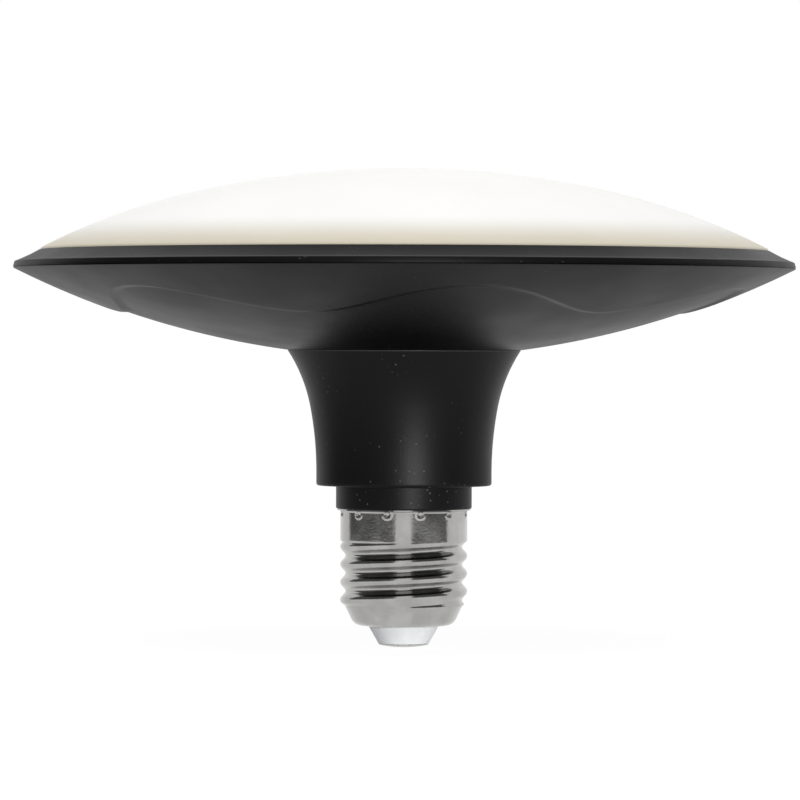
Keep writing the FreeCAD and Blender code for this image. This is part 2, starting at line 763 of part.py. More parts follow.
def make_screw_shell():
    """Pressed cap: plain skirt with a flared mouth, rolled thread and a rounded nose."""
    skirt = new_body("cap_skirt")
    bore = D.skirt_radius - D.shell_wall
    mouth = D.skirt_radius + D.mouth_flare
    revolve(skirt, [
        (bore, 0),
        (D.skirt_radius, 0),
        (D.skirt_radius, D.skirt_top, RIGHT, D.mouth_round),
        (mouth, COLLAR_LOW),
        (mouth - D.shell_wall, COLLAR_LOW, LEFT, D.mouth_round + D.shell_wall),
        (bore, D.skirt_top),
    ])
    nose = new_body("cap_nose")
    round_level = NOSE_LOW + D.nose_round
    inner_round = D.nose_round - D.shell_wall
    inner_top = NOSE_TOP_RADIUS - D.shell_wall
    outer_touch = touching_point(NOSE_TOP_RADIUS, NOSE_TOP, NOSE_FLAT_RADIUS, round_level, D.nose_round)
    inner_touch = touching_point(inner_top, NOSE_TOP, NOSE_FLAT_RADIUS, round_level, inner_round)
    hole = INSULATOR_TOP_RADIUS + D.seat_gap
    revolve(nose, [
        (inner_top, NOSE_TOP),
        (NOSE_TOP_RADIUS, NOSE_TOP),
        outer_touch + (RIGHT, D.nose_round),
        (NOSE_FLAT_RADIUS, NOSE_LOW),
        (hole, NOSE_LOW),
        (hole, INSULATOR_SEAT),
        (NOSE_FLAT_RADIUS, INSULATOR_SEAT, LEFT, inner_round),
        inner_touch,
    ])
    thread = coded("cap_thread", thread_tube())
    sheet_form = joined("cap_sheet", "MultiFuse", skirt, thread, nose)
    bump_radius = D.crimp_radius.value + D.shell_wall.value - D.seat_gap.value
    bumps = coded("cap_bump_balls", crimp_spheres(bump_radius))
    bump_zone = new_body("cap_bump_zone")
    zone_radius = D.skirt_radius - D.shell_wall / 2
    revolve(bump_zone, [
        (0, 0),
        (zone_radius, 0),
        (zone_radius, COLLAR_LOW),
        (0, COLLAR_LOW),
    ])
    bumps_kept = joined("cap_bumps", "MultiCommon", bump_zone, bumps)
    bumped = joined("cap_bumped", "MultiFuse", sheet_form, bumps_kept)
    dents = coded("cap_dents", crimp_spheres(D.crimp_radius.value))
    return joined("screw_shell", "Cut", bumped, dents)


def make_insulator():
    """White cone that holds the centre contact clear of the cap."""
    body = new_body("cap_insulator")
    bore = D.contact_stem_radius + D.seat_gap
    flange_radius = NOSE_FLAT_RADIUS + D.insulator_rim
    flange_top = INSULATOR_SEAT + D.insulator_flange
    revolve(body, [
        (bore, INSULATOR_LOW),
        (INSULATOR_LOW_RADIUS, INSULATOR_LOW),
        (INSULATOR_TOP_RADIUS, NOSE_LOW),
        (INSULATOR_TOP_RADIUS, INSULATOR_SEAT),
        (NOSE_FLAT_RADIUS - D.insulator_foot_inset, INSULATOR_SEAT),
        (flange_radius, INSULATOR_SEAT + D.insulator_foot_rise),
        (flange_radius, flange_top),
        (bore, flange_top),
    ])
    return body


def make_contact():
    """Domed centre contact with the stem that is riveted up through the insulator."""
    body = new_body("centre_contact")
    radius = INSULATOR_LOW_RADIUS - D.contact_margin
    edge_low = INSULATOR_LOW - D.contact_edge
    bulge = (radius * radius + D.contact_sag * D.contact_sag) / (2 * D.contact_sag)
    revolve(body, [
        (0, edge_low - D.contact_sag, LEFT, bulge),
        (radius, edge_low),
        (radius, INSULATOR_LOW),
        (D.contact_stem_radius, INSULATOR_LOW),
        (D.contact_stem_radius, STEM_TOP),
        (0, STEM_TOP),
    ])
    return body


def drilled_disc(label, radius, hole, low, thickness):
    """Flat disc with a middle hole and a round of clearance holes for the board screws."""
    body = new_body(label)
    sketch = new_sketch(body, "XY_Plane", low)
    draw_circle(sketch, radius)
    draw_circle(sketch, hole)
    pad(body, sketch, thickness)
    sketch = new_sketch(body, "XY_Plane", low + thickness)
    draw_circle(sketch, D.screw_radius + D.screw_hole_gap, SCREW_CIRCLE, 0)
    around(body, pocket(body, sketch, thickness), D.screw_count)
    return body


def make_spreader():
    """Aluminium plate that carries the lamp's heat from the board out to the dish."""
    thickness = D.spreader_thickness
    return drilled_disc("heat_spreader", SPREADER_RADIUS, D.spreader_hole_radius, LEDGE_LEVEL, thickness)


def make_led_board():
    """Round board for the light chips, with a middle hole for the driver's leads."""
    return drilled_disc("led_board", BOARD_RADIUS, D.board_hole_radius, BOARD_LOW, D.board_thickness)


def make_chips():
    """Light chips in rings on the board, each turned to face the middle."""
    chips = []
    length, width = D.chip_length.value, D.chip_width.value
    for ring in range(int(round(D.chip_ring_count.value))):
        reach = D.chip_first_ring.value + ring * CHIP_RING_STEP.value
        groups = round(2 * math.pi * reach / D.chip_spacing.value / D.screw_count.value)
        count = int(groups * D.screw_count.value)
        for step in range(count):
            chip = Part.makeBox(length, width, D.chip_height.value)
            chip.translate(FreeCAD.Vector(reach - length / 2, -width / 2, BOARD_TOP.value))
            chip.rotate(FreeCAD.Vector(), UP, 360 * (step + 0.5) / count)
            chips.append(chip)
    return coded("led_chips", Part.makeCompound(chips))


def screw_group(label, seat, angles, circle):
    """Pan-head screws, heads on a seat and shanks down into their bosses."""
    pattern = new_body(label + "_pattern")
    tip = seat - D.screw_reach
    top = seat + D.screw_head_height
    recess_low = top - D.screw_recess_depth
    revolve(pattern, [
        (0, tip),
        (D.screw_radius, tip + D.screw_radius),
        (D.screw_radius, seat),
        (D.screw_head_radius, seat),
        (D.screw_head_radius, seat + D.screw_head_side, LEFT, D.screw_head_radius),
        (D.screw_recess_radius, top),
        (D.screw_recess_radius, recess_low),
        (0, recess_low - D.screw_recess_tip),
    ])
    check(pattern)
    screws = []
    for angle in angles:
        screw = pattern.Shape.copy()
        screw.translate(FreeCAD.Vector(circle.value, 0, 0))
        screw.rotate(FreeCAD.Vector(), UP, angle)
        screws.append(screw)
    return coded(label, Part.makeCompound(screws))


def even_angles(count, start):
    count = int(round(count.value))
    return [start + 360 * step / count for step in range(count)]


def make_driver_board():
    """Upright board in the neck's slots, with a narrow tail down inside the spigot."""
    body = new_body("driver_board")
    sketch = new_sketch(body, "XZ_Plane")
    draw_outline(sketch, [
        (-TAIL_HALF_WIDTH, TAIL_LOW),
        (TAIL_HALF_WIDTH, TAIL_LOW),
        (TAIL_HALF_WIDTH, DRIVER_LOW),
        (DRIVER_HALF_WIDTH, DRIVER_LOW),
        (DRIVER_HALF_WIDTH, DRIVER_TOP),
        (-DRIVER_HALF_WIDTH, DRIVER_TOP),
        (-DRIVER_HALF_WIDTH, DRIVER_LOW),
        (-TAIL_HALF_WIDTH, DRIVER_LOW),
    ])
    pad(body, sketch, D.driver_thickness, middle=True)
    return body


def shift(body, across, back):
    """Move a body sideways by sizes from the sheet."""
    body.Placement = FreeCAD.Placement(FreeCAD.Vector(across.value, back.value, 0), FreeCAD.Rotation())
    body.setExpression("Placement.Base.x", across.text)
    body.setExpression("Placement.Base.y", back.text)


def stand_on_board(body, front, rise, depth, outline):
    """Pad a part off one face of the driver board, from a rise above the face to a depth."""
    level = DRIVER_FACE + rise
    sketch = new_sketch(body, "XZ_Plane", level if front else -level)
    outline(sketch)
    feature = pad(body, sketch, depth)
    feature.Reversed = not front
    return feature


def block_part(label, front, low_x, low_z, high_x, high_z, depth):
    """Plain block part on the driver board."""
    body = new_body(label)
    stand_on_board(body, front, 0, depth, lambda sketch: draw_box(sketch, low_x, low_z, high_x, high_z))
    return body


def can_part(label, front, radius, low, high, across, groove):
    """Upright can with rounded ends and one groove, held close against the driver board."""
    body = new_body(label)
    edge = D.can_edge
    groove_low = low + groove
    revolve(body, [
        (0, low),
        (radius - edge, low, LEFT, edge),
        (radius, low + edge),
        (radius, groove_low),
        (radius - edge, groove_low + edge),
        (radius, groove_low + 2 * edge),
        (radius, high - edge, LEFT, edge),
        (radius - edge, high),
        (0, high),
    ])
    back = DRIVER_FACE + D.seat_gap + radius
    shift(body, across, -back if front else back)
    return body


def make_transformer():
    """Ferrite frame round a wound bobbin, on the front of the driver board."""
    body = new_body("transformer")
    half_x, half_z = D.core_width / 2, D.core_height / 2
    middle = DRIVER_LOW + D.core_rise

    def winding(sketch):
        draw_box(sketch, D.winding_inset - half_x, middle - half_z + D.core_limb,
                 half_x - D.winding_inset, middle + half_z - D.core_limb)

    def frame(sketch):
        draw_box(sketch, -half_x, middle - half_z, half_x, middle + half_z)

    stand_on_board(body, True, 0, D.core_depth, winding)
    stand_on_board(body, True, D.core_back, D.core_stack, frame)
    return body


def make_varistor():
    """Round varistor, flat against the back of the board's tail."""
    body = new_body("varistor")
    stand_on_board(body, False, 0, D.varistor_thickness,
                   lambda sketch: draw_circle(sketch, D.varistor_radius, TAIL_HALF_WIDTH / 2, TAIL_MIDDLE))
    return body


def make_connector():
    """Small terminal block beside the middle hole of the light board."""
    body = new_body("board_connector")
    sketch = new_sketch(body, "XY_Plane", BOARD_TOP)
    near = D.board_hole_radius + D.part_gap
    draw_box(sketch, -D.connector_width / 2, near, D.connector_width / 2, near + D.connector_length)
    pad(body, sketch, D.connector_height)
    return body


def make_lead(label, points, bend):
    """Insulated wire along straight runs joined by tangent arcs of one bend radius."""
    radius = D.lead_radius.value
    spots = [FreeCAD.Vector(*[as_size(number).value for number in point]) for point in points]
    edges = []
    here = spots[0]
    for corner, ahead in zip(spots[1:-1], spots[2:]):
        back_way = (here - corner).normalize()
        on_way = (ahead - corner).normalize()
        half_turn = (math.pi - back_way.getAngle(on_way)) / 2
        reach = bend.value * math.tan(half_turn)
        inward = (back_way + on_way).normalize()
        middle = corner + inward * (bend.value / math.cos(half_turn) - bend.value)
        arc_start, arc_end = corner + back_way * reach, corner + on_way * reach
        edges.append(Part.LineSegment(here, arc_start).toShape())
        edges.append(Part.Arc(arc_start, middle, arc_end).toShape())
        here = arc_end
    edges.append(Part.LineSegment(here, spots[-1]).toShape())
    path = Part.Wire(edges)
    ring = Part.Wire(Part.makeCircle(radius, spots[0], spots[1] - spots[0]))
    solid = path.makePipeShell([ring], True, True)
    expected = math.pi * radius ** 2 * path.Length
    if abs(solid.Volume - expected) > 0.01 * expected:
        raise RuntimeError(label + " is not a plain tube")
    return coded(label, solid)


def make_output_leads():
    """Red and black leads from the driver up through the boards into the connector."""
    level = BOARD_TOP + D.connector_height / 2
    face = D.board_hole_radius + D.part_gap
    leads = []
    for label, across in (("output_lead_red", -D.lead_spread), ("output_lead_black", D.lead_spread)):
        leads.append(make_lead(label, [(across, 0, DRIVER_TOP), (across, 0, level), (across, face, level)],
                               D.output_lead_bend))
    return leads


def make_cap_leads():
    """One lead to the side of the screw shell and one to the stem of the centre contact."""
    reach = D.skirt_radius - D.shell_wall - 2 * D.part_gap
    side = [(D.shell_lead_across, 0, TAIL_LOW), (D.shell_lead_across, 0, -D.part_gap),
            (reach, 0, -D.part_gap)]
    start = -D.contact_lead_across
    bend_level = TAIL_LOW - D.contact_lead_drop
    middle = [(start, 0, TAIL_LOW), (start, 0, bend_level), (0, 0, bend_level - D.contact_lead_slant),
              (0, 0, STEM_TOP)]
    return [
        make_lead("shell_lead", side, D.cap_lead_bend),
        make_lead("contact_lead", middle, D.cap_lead_bend),
    ]


bulk_low = DRIVER_LOW + D.part_gap
film_low = DRIVER_LOW + D.film_rise
chip_low = DRIVER_LOW + D.driver_chip_rise
choke_low = TAIL_MIDDLE - D.choke_length / 2
fuse_low = TAIL_MIDDLE - D.fuse_length / 2
bridge_low = TAIL_MIDDLE - D.bridge_width / 2
pieces = [
    make_diffuser(),
    make_bezel_ring(),
    make_dish(),
    make_neck(),
    make_screw_shell(),
    make_insulator(),
    make_contact(),
    make_spreader(),
    make_led_board(),
    make_chips(),
    make_connector(),
    screw_group("board_screws", BOARD_TOP, even_angles(D.screw_count, 0), SCREW_CIRCLE),
    screw_group("neck_screws", FLOOR_TOP, even_angles(D.neck_boss_count, 90), NECK_BOSS_CIRCLE),
    make_driver_board(),
    make_transformer(),
    can_part("bulk_capacitor", False, D.bulk_radius, bulk_low, bulk_low + D.bulk_length,
             -D.bulk_across, D.bulk_groove),
    block_part("film_capacitor", False, D.film_across, film_low,
               D.film_across + D.film_width, film_low + D.film_height, D.film_depth),
    block_part("driver_chip", False, D.film_across, chip_low,
               D.film_across + D.driver_chip_width, chip_low + D.driver_chip_height, D.driver_chip_depth),
    block_part("bridge_rectifier", True, -D.bridge_width - D.part_gap, bridge_low,
               -D.part_gap, bridge_low + D.bridge_width, D.bridge_depth),
    can_part("filter_choke", True, D.choke_radius, choke_low, choke_low + D.choke_length,
             D.choke_radius + D.part_gap, D.choke_groove),
    can_part("fuse_resistor", False, D.fuse_radius, fuse_low, fuse_low + D.fuse_length,
             -TAIL_HALF_WIDTH / 2, D.fuse_groove),
    make_varistor(),
] + make_output_leads() + make_cap_leads()

doc.recompute()
for item in doc.Objects:
    if "Invalid" in item.State or "Error" in item.State:
        raise RuntimeError(item.Name + " failed to build")
for piece in pieces:
    if piece.Shape.isNull() or not piece.Shape.isValid() or piece.Shape.Volume <= 0:
        raise RuntimeError(piece.Label + " is not a sound solid")

os.makedirs("parts", exist_ok=True)
for piece in pieces:
    piece.Shape.exportStep(os.path.join("parts", piece.Label + ".step"))
    print(f"{piece.Label:20s} solids {len(piece.Shape.Solids):3d}  volume {piece.Shape.Volume:10.1f}")
print("pieces", len(pieces))
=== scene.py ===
# %% [markdown]
# # A flat disc lamp, dressed in Blender
#
# The lamp is a wide black dish with an opal dome on top, a flared neck below and an E27 screw
# cap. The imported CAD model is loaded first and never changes. Each later cell looks at one piece
# or one finish: what it is on the real lamp, how it could be made, and why this way was chosen.

# %% Load the frame
import math

import bmesh
import bpy
import numpy as np
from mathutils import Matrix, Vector


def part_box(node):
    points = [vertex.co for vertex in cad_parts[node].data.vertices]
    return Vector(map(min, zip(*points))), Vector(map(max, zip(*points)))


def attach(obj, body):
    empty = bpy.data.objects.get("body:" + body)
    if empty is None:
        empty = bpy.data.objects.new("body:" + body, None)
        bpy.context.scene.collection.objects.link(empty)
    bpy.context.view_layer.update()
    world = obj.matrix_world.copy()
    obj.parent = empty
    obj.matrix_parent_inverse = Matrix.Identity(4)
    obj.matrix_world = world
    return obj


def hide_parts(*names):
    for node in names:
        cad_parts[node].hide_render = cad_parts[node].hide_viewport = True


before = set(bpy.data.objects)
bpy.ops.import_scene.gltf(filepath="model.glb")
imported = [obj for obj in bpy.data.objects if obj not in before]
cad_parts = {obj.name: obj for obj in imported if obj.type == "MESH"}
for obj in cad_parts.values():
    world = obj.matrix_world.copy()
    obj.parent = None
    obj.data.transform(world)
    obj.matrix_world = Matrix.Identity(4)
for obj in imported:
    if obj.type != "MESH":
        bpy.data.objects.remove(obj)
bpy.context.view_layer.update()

MM = 0.001

# %% [markdown]
# ## Sizes
#
# The CAD bodies already give the heights and reaches that matter, so they are read from the
# frame. Only what a box can't tell, such as a curve's radius or a wall, is repeated in metres.

# %% Heights and reaches from the frame
dish_high_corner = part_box("dish_housing")[1]
RIM_RADIUS = dish_high_corner.x
RIM_TOP = dish_high_corner.z
SEAT_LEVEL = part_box("neck_housing")[1].z
SPIGOT_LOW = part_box("neck_housing")[0].z
BEZEL_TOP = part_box("bezel_ring")[1].z
TONGUE_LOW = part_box("bezel_ring")[0].z
DOME_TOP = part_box("diffuser")[1].z
CAP_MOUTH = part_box("screw_shell")[1].z
MOUTH_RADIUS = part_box("screw_shell")[1].x
NOSE_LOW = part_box("screw_shell")[0].z
INSULATOR_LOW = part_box("cap_insulator")[0].z
INSULATOR_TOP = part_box("cap_insulator")[1].z
CONTACT_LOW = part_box("centre_contact")[0].z
CONTACT_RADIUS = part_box("centre_contact")[1].x
FLOOR_LEVEL = CONTACT_LOW
print(f"rim {RIM_RADIUS / MM:.1f} mm at {RIM_TOP / MM:.2f} mm, seat at {SEAT_LEVEL / MM:.2f} mm")

# %% Radii and walls in metres
DISH_RADIUS = 178.3 * MM
SEAT_RISE = 1.63 * MM
DISH_WALL = 1.9 * MM
DISH_HOLE = 13.0 * MM
RIM_DRAFT = 0.35 * MM
LAND_HEIGHT = 0.63 * MM
WAVE_INSET = 17.2 * MM
WAVE_AMPLITUDE = 6.5 * MM
WAVE_COUNT = 6
WAVE_TURN = math.radians(11.3)
RAMP_WIDTH = 2.3 * MM
DISH_CENTRE = SEAT_LEVEL - SEAT_RISE + DISH_RADIUS
WAVE_RADIUS = RIM_RADIUS - WAVE_INSET

# %% [markdown]
# ## Turned pieces
#
# The dome, the bezel ring, the neck, the cap and its tip are all round, so each is an outline
# turned about the axis. A Spin modifier or a Screw modifier could turn it, but a small function
# gives rings with an exact seam and closed poles. An outline is a list of runs, and each run is a
# smooth stretch. Where two runs meet the corner is rounded a little, because a real moulded or
# pressed edge is never perfectly sharp and its rounding catches the light.

# %% Runs of an outline
def line(*points):
    """A run of straight stretches between (radius, height) points."""
    return [np.array(point, float) for point in points]


def arc(start, stop, radius, bulge, steps=24):
    """A run along a circle through both points, bulging to the left of the way if bulge is 1."""
    start, stop = np.array(start, float), np.array(stop, float)
    chord = stop - start
    length = np.hypot(*chord)
    across = np.array([-chord[1], chord[0]]) / length
    centre = (start + stop) / 2 - across * bulge * math.sqrt(radius ** 2 - length ** 2 / 4)
    first = math.atan2(*(start - centre)[::-1])
    last = math.atan2(*(stop - centre)[::-1])
    sweep = (last - first + math.pi) % (2 * math.pi) - math.pi
    angles = [first + sweep * step / steps for step in range(steps + 1)]
    return [centre + radius * np.array([math.cos(a), math.sin(a)]) for a in angles]


def divided(start, stop, steps):
    """A straight run with points at even steps, for a stretch that is shaped further later on."""
    start, stop = np.array(start, float), np.array(stop, float)
    return [start + (stop - start) * step / steps for step in range(steps + 1)]


def trimmed(run, reach):
    """A run with a length cut off its end."""
    points = list(run)
    while len(points) > 1:
        step = np.hypot(*(points[-1] - points[-2]))
        if step > reach:
            points[-1] = points[-1] + (points[-2] - points[-1]) * (reach / step)
            return points
        reach -= step
        points.pop()
    return points


def outline(runs, roundings, closed=True, steps=4):
    """Join runs end to end, rounding the corner after each run by its own reach."""
    count = len(runs)
    runs = [list(run) for run in runs]
    corners = [run[-1] for run in runs]
    for index, reach in enumerate(roundings):
        if reach and (closed or index < count - 1):
            ahead = (index + 1) % count
            runs[index] = trimmed(runs[index], reach)
            runs[ahead] = trimmed(runs[ahead][::-1], reach)[::-1]
    points = []
    for index, run in enumerate(runs):
        points += run
        if roundings[index] and (closed or index < count - 1):
            start, corner, stop = run[-1], corners[index], runs[(index + 1) % count][0]
            for step in range(1, steps):
                share = step / steps
                points.append((1 - share) ** 2 * start + 2 * share * (1 - share) * corner
                              + share ** 2 * stop)
    kept = [points[0]]
    for point in points[1:]:
        if np.hypot(*(point - kept[-1])) > 1e-7:
            kept.append(point)
    if closed and np.hypot(*(kept[0] - kept[-1])) < 1e-7:
        kept.pop()
    return kept


# %% Turn an outline about the axis
def turned(name, points, segments=256, closed=True):
    """A mesh object from an outline of (radius, height) points turned about the lamp's axis."""
    mesh = bmesh.new()
    rings = []
    for radius, height in points:
        if radius < 1e-6:
            rings.append([mesh.verts.new((0, 0, height))])
            continue
        angles = [2 * math.pi * step / segments for step in range(segments)]
        rings.append([mesh.verts.new((radius * math.cos(a), radius * math.sin(a), height)) for a in angles])
    pairs = list(zip(rings, rings[1:]))
    if closed:
        pairs.append((rings[-1], rings[0]))
    for near, far in pairs:
        for step in range(segments):
            ahead = (step + 1) % segments
            if len(near) == 1 and len(far) == 1:
                continue
            if len(near) == 1:
                mesh.faces.new((near[0], far[step], far[ahead]))
            elif len(far) == 1:
                mesh.faces.new((near[step], far[0], near[ahead]))
            else:
                mesh.faces.new((near[step], far[step], far[ahead], near[ahead]))
    bmesh.ops.recalc_face_normals(mesh, faces=mesh.faces)
    data = bpy.data.meshes.new(name)
    mesh.to_mesh(data)
    mesh.free()
    made = bpy.data.objects.new(name, data)
    bpy.context.scene.collection.objects.link(made)
    return made


def smooth(piece, sharp=math.radians(40)):
    """Shade smooth, with a hard edge only where two faces meet at more than an angle."""
    piece.data.polygons.foreach_set("use_smooth", [True] * len(piece.data.polygons))
    piece.data.set_sharp_from_angle(angle=sharp)
    triangles = sum(len(face.vertices) - 2 for face in piece.data.polygons)
    print(f"{piece.name}: {triangles} triangles")
    return piece


# %% [markdown]
# ## Sums on wires
#
# Both a material and a Geometry Nodes tree are full of small sums. Adding each Math node by hand
# hides the sum, so one class wraps a socket and lets Python's own operators add the nodes. The
# method `node` adds any other node from its type, its settings and what goes into its sockets.

# %% One class for wires and one for trees
class Wire:
    """An output socket whose sums with numbers and other wires become Math nodes."""

    def __init__(self, board, socket):
        self.board = board
        self.socket = socket

    def math(self, operation, *others):
        inputs = dict(enumerate((self,) + others))
        return self.board.node("ShaderNodeMath", {"operation": operation}, inputs)

    def __add__(self, other):
        return self.math("ADD", other)

    def __sub__(self, other):
        return self.math("SUBTRACT", other)

    def __mul__(self, other):
        return self.math("MULTIPLY", other)

    def __truediv__(self, other):
        return self.math("DIVIDE", other)

    def __pow__(self, other):
        return self.math("POWER", other)

    def __rsub__(self, other):
        return self.board.node("ShaderNodeMath", {"operation": "SUBTRACT"}, {0: other, 1: self})

    def __rtruediv__(self, other):
        return self.board.node("ShaderNodeMath", {"operation": "DIVIDE"}, {0: other, 1: self})

    def clamped(self):
        return self.math("MAXIMUM", 0.0).math("MINIMUM", 1.0)

    def between(self, low, high, new_low=0.0, new_high=1.0):
        """Ease from one number to another as the wire's value runs from low to high."""
        settings = {"interpolation_type": "SMOOTHSTEP"}
        inputs = {0: self, 1: low, 2: high, 3: new_low, 4: new_high}
        return self.board.node("ShaderNodeMapRange", settings, inputs)


class Board:
    """A node tree, with one method that adds any node."""

    def __init__(self, tree):
        self.tree = tree

    def node(self, kind, settings=None, inputs=None, output=0):
        made = self.tree.nodes.new(kind)
        for name, value in (settings or {}).items():
            setattr(made, name, value)
        for key, value in (inputs or {}).items():
            socket = made.inputs[key]
            if isinstance(value, Wire):
                self.tree.links.new(value.socket, socket)
            else:
                socket.default_value = value
        return Wire(self, made.outputs[output])

    def split(self, vector):
        """The x, y and z of a vector wire."""
        parts = self.tree.nodes.new("ShaderNodeSeparateXYZ")
        self.tree.links.new(vector.socket, parts.inputs[0])
        return [Wire(self, socket) for socket in parts.outputs]

    def leave(self, kind, wire):
        """Lead a wire to a new output node."""
        made = self.tree.nodes.new(kind)
        self.tree.links.new(wire.socket, made.inputs[0])


# %% [markdown]
# ## The opal dome
#
# The dome is blown or pressed opal plastic, about 1.5 mm thick, a flat crown running into a
# tighter side. A sphere cut off by a plane would be too round in the middle, so the outline has
# two arcs that share a tangent. Its edge goes down inside the bezel ring to a flange.

# %% Dome outline
CROWN_RADIUS = 192.0 * MM
CROWN_REACH = 44.0 * MM
SIDE_RADIUS = 135.7 * MM
DIFFUSER_WALL = 1.5 * MM
FLANGE_THICKNESS = 1.3 * MM
DOME_INNER_DROP = 1.05 * MM
DOME_EDGE_ROUND = 0.5 * MM
BEZEL_WIDTH = 5.4 * MM
SLIDE_GAP = 0.15 * MM
BEZEL_INNER = RIM_RADIUS - BEZEL_WIDTH
DIFFUSER_EDGE = BEZEL_INNER - SLIDE_GAP


def crown_level(reach):
    return DOME_TOP - CROWN_RADIUS + math.sqrt(CROWN_RADIUS ** 2 - reach ** 2)


def make_dome():
    flange_edge, flange_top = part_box("diffuser")[1].x, RIM_TOP + FLANGE_THICKNESS
    bore = DIFFUSER_EDGE - DIFFUSER_WALL
    turn = (CROWN_REACH, crown_level(CROWN_REACH))
    inner_share = (CROWN_RADIUS - DIFFUSER_WALL) / CROWN_RADIUS
    crown_centre = DOME_TOP - CROWN_RADIUS
    inner_turn = (CROWN_REACH * inner_share, crown_centre + (turn[1] - crown_centre) * inner_share)
    inner_edge = (bore, BEZEL_TOP - DOME_INNER_DROP)
    crown = arc((0, DOME_TOP), turn, CROWN_RADIUS, 1, 20)
    crown += arc(turn, (DIFFUSER_EDGE, BEZEL_TOP), SIDE_RADIUS, 1, 24)[1:]
    inside = arc(inner_edge, inner_turn, SIDE_RADIUS - DIFFUSER_WALL, -1, 10)
    inside += arc(inner_turn, (0, DOME_TOP - DIFFUSER_WALL), CROWN_RADIUS - DIFFUSER_WALL, -1, 10)[1:]
    runs = [
        crown,
        line((DIFFUSER_EDGE, BEZEL_TOP), (DIFFUSER_EDGE, flange_top)),
        line((DIFFUSER_EDGE, flange_top), (flange_edge, flange_top)),
        line((flange_edge, flange_top), (flange_edge, RIM_TOP)),
        line((flange_edge, RIM_TOP), (bore, RIM_TOP)),
        line((bore, RIM_TOP), inner_edge),
        inside,
    ]
    points = outline(runs, [DOME_EDGE_ROUND, 0, 0, 0, 0, 0, 0], closed=False)
    return smooth(turned("opal_dome", points, 320, closed=False))


dome = make_dome()

# %% [markdown]
# ## The bezel ring
#
# A black ring with a slightly hollow bevel holds the dome down. It could be a bevelled torus, but
# its section is a simple outline: bevel, a short flat at the rim, and a tongue in the dish.

# %% Bezel ring outline
BEVEL_SAG = 0.12 * MM
LIP_SHOW = 0.30 * MM
TONGUE_INSET = 2.2 * MM
TONGUE_WIDTH = 1.0 * MM
STEP_WIDTH = 1.5 * MM
STEP_RISE = 1.4 * MM
EDGE_ROUND = 0.22 * MM
BEVEL_TOP_ROUND = 0.15 * MM


def make_bezel():
    outer = RIM_RADIUS - RIM_DRAFT
    top = BEZEL_TOP - LIP_SHOW
    across, rise = outer - BEZEL_INNER, top - RIM_TOP
    bevel_radius = (across ** 2 + rise ** 2) / (8 * BEVEL_SAG)
    tongue_outer = RIM_RADIUS - TONGUE_INSET + TONGUE_WIDTH / 2
    tongue_inner = tongue_outer - TONGUE_WIDTH
    step_radius, step_top = BEZEL_INNER + STEP_WIDTH, RIM_TOP + STEP_RISE
    runs = [
        arc((BEZEL_INNER, top), (outer, RIM_TOP), bevel_radius, -1, 10),
        line((outer, RIM_TOP), (tongue_outer, RIM_TOP), (tongue_outer, TONGUE_LOW),
             (tongue_inner, TONGUE_LOW), (tongue_inner, RIM_TOP), (step_radius, RIM_TOP),
             (step_radius, step_top), (BEZEL_INNER, step_top)),
        line((BEZEL_INNER, step_top), (BEZEL_INNER, top)),
    ]
    return smooth(turned("black_bezel", outline(runs, [EDGE_ROUND, 0, BEVEL_TOP_ROUND]), 320))


bezel = make_bezel()

# %% [markdown]
# ## The dish and its wave
#
# The dish is part of a big sphere. Near the rim its underside is raised by about 0.6 mm, and the
# raised band's inner edge swings in six lobes. Such an edge could be sculpted or cut with a
# boolean, but it follows a rule, so Geometry Nodes does it: first each ring of the mesh near the
# edge is bent into the wave, then every point outside the edge is pushed out by a soft step. The
# mesh lines then run along the edge, and few faces give a clean ramp.

# %% Geometry Nodes tree that bends rings into a wave
def new_tree(name, sizes):
    """An empty geometry tree with a float input for each named size, and its first wires."""
    tree = bpy.data.node_groups.new(name, "GeometryNodeTree")
    tree.interface.new_socket(name="Geometry", in_out="INPUT", socket_type="NodeSocketGeometry")
    tree.interface.new_socket(name="Geometry", in_out="OUTPUT", socket_type="NodeSocketGeometry")
    for size in sizes:
        tree.interface.new_socket(name=size, in_out="INPUT", socket_type="NodeSocketFloat")
    tree.interface.new_socket(name="Finish", in_out="INPUT", socket_type="NodeSocketMaterial")
    board = Board(tree)
    entry = tree.nodes.new("NodeGroupInput")
    wires = {socket.name: Wire(board, socket) for socket in entry.outputs if socket.name}
    return board, wires


def finish_tree(board, wires, shape):
    """Close a tree with Realize Instances and Set Material, as every tree here ends."""
    real = board.node("GeometryNodeRealizeInstances", inputs={0: shape})
    coated = board.node("GeometryNodeSetMaterial", inputs={"Geometry": real, "Material": wires["Finish"]})
    board.leave("NodeGroupOutput", coated)


def move_skin(board, wires, moved):
    """Move the points that are marked as skin, and leave the others where they are."""
    skin = board.node("GeometryNodeInputNamedAttribute", {"data_type": "FLOAT"}, {"Name": "skin"})
    inputs = {"Geometry": wires["Geometry"], "Selection": skin.math("GREATER_THAN", 0.5), "Position": moved}
    finish_tree(board, wires, board.node("GeometryNodeSetPosition", inputs=inputs))


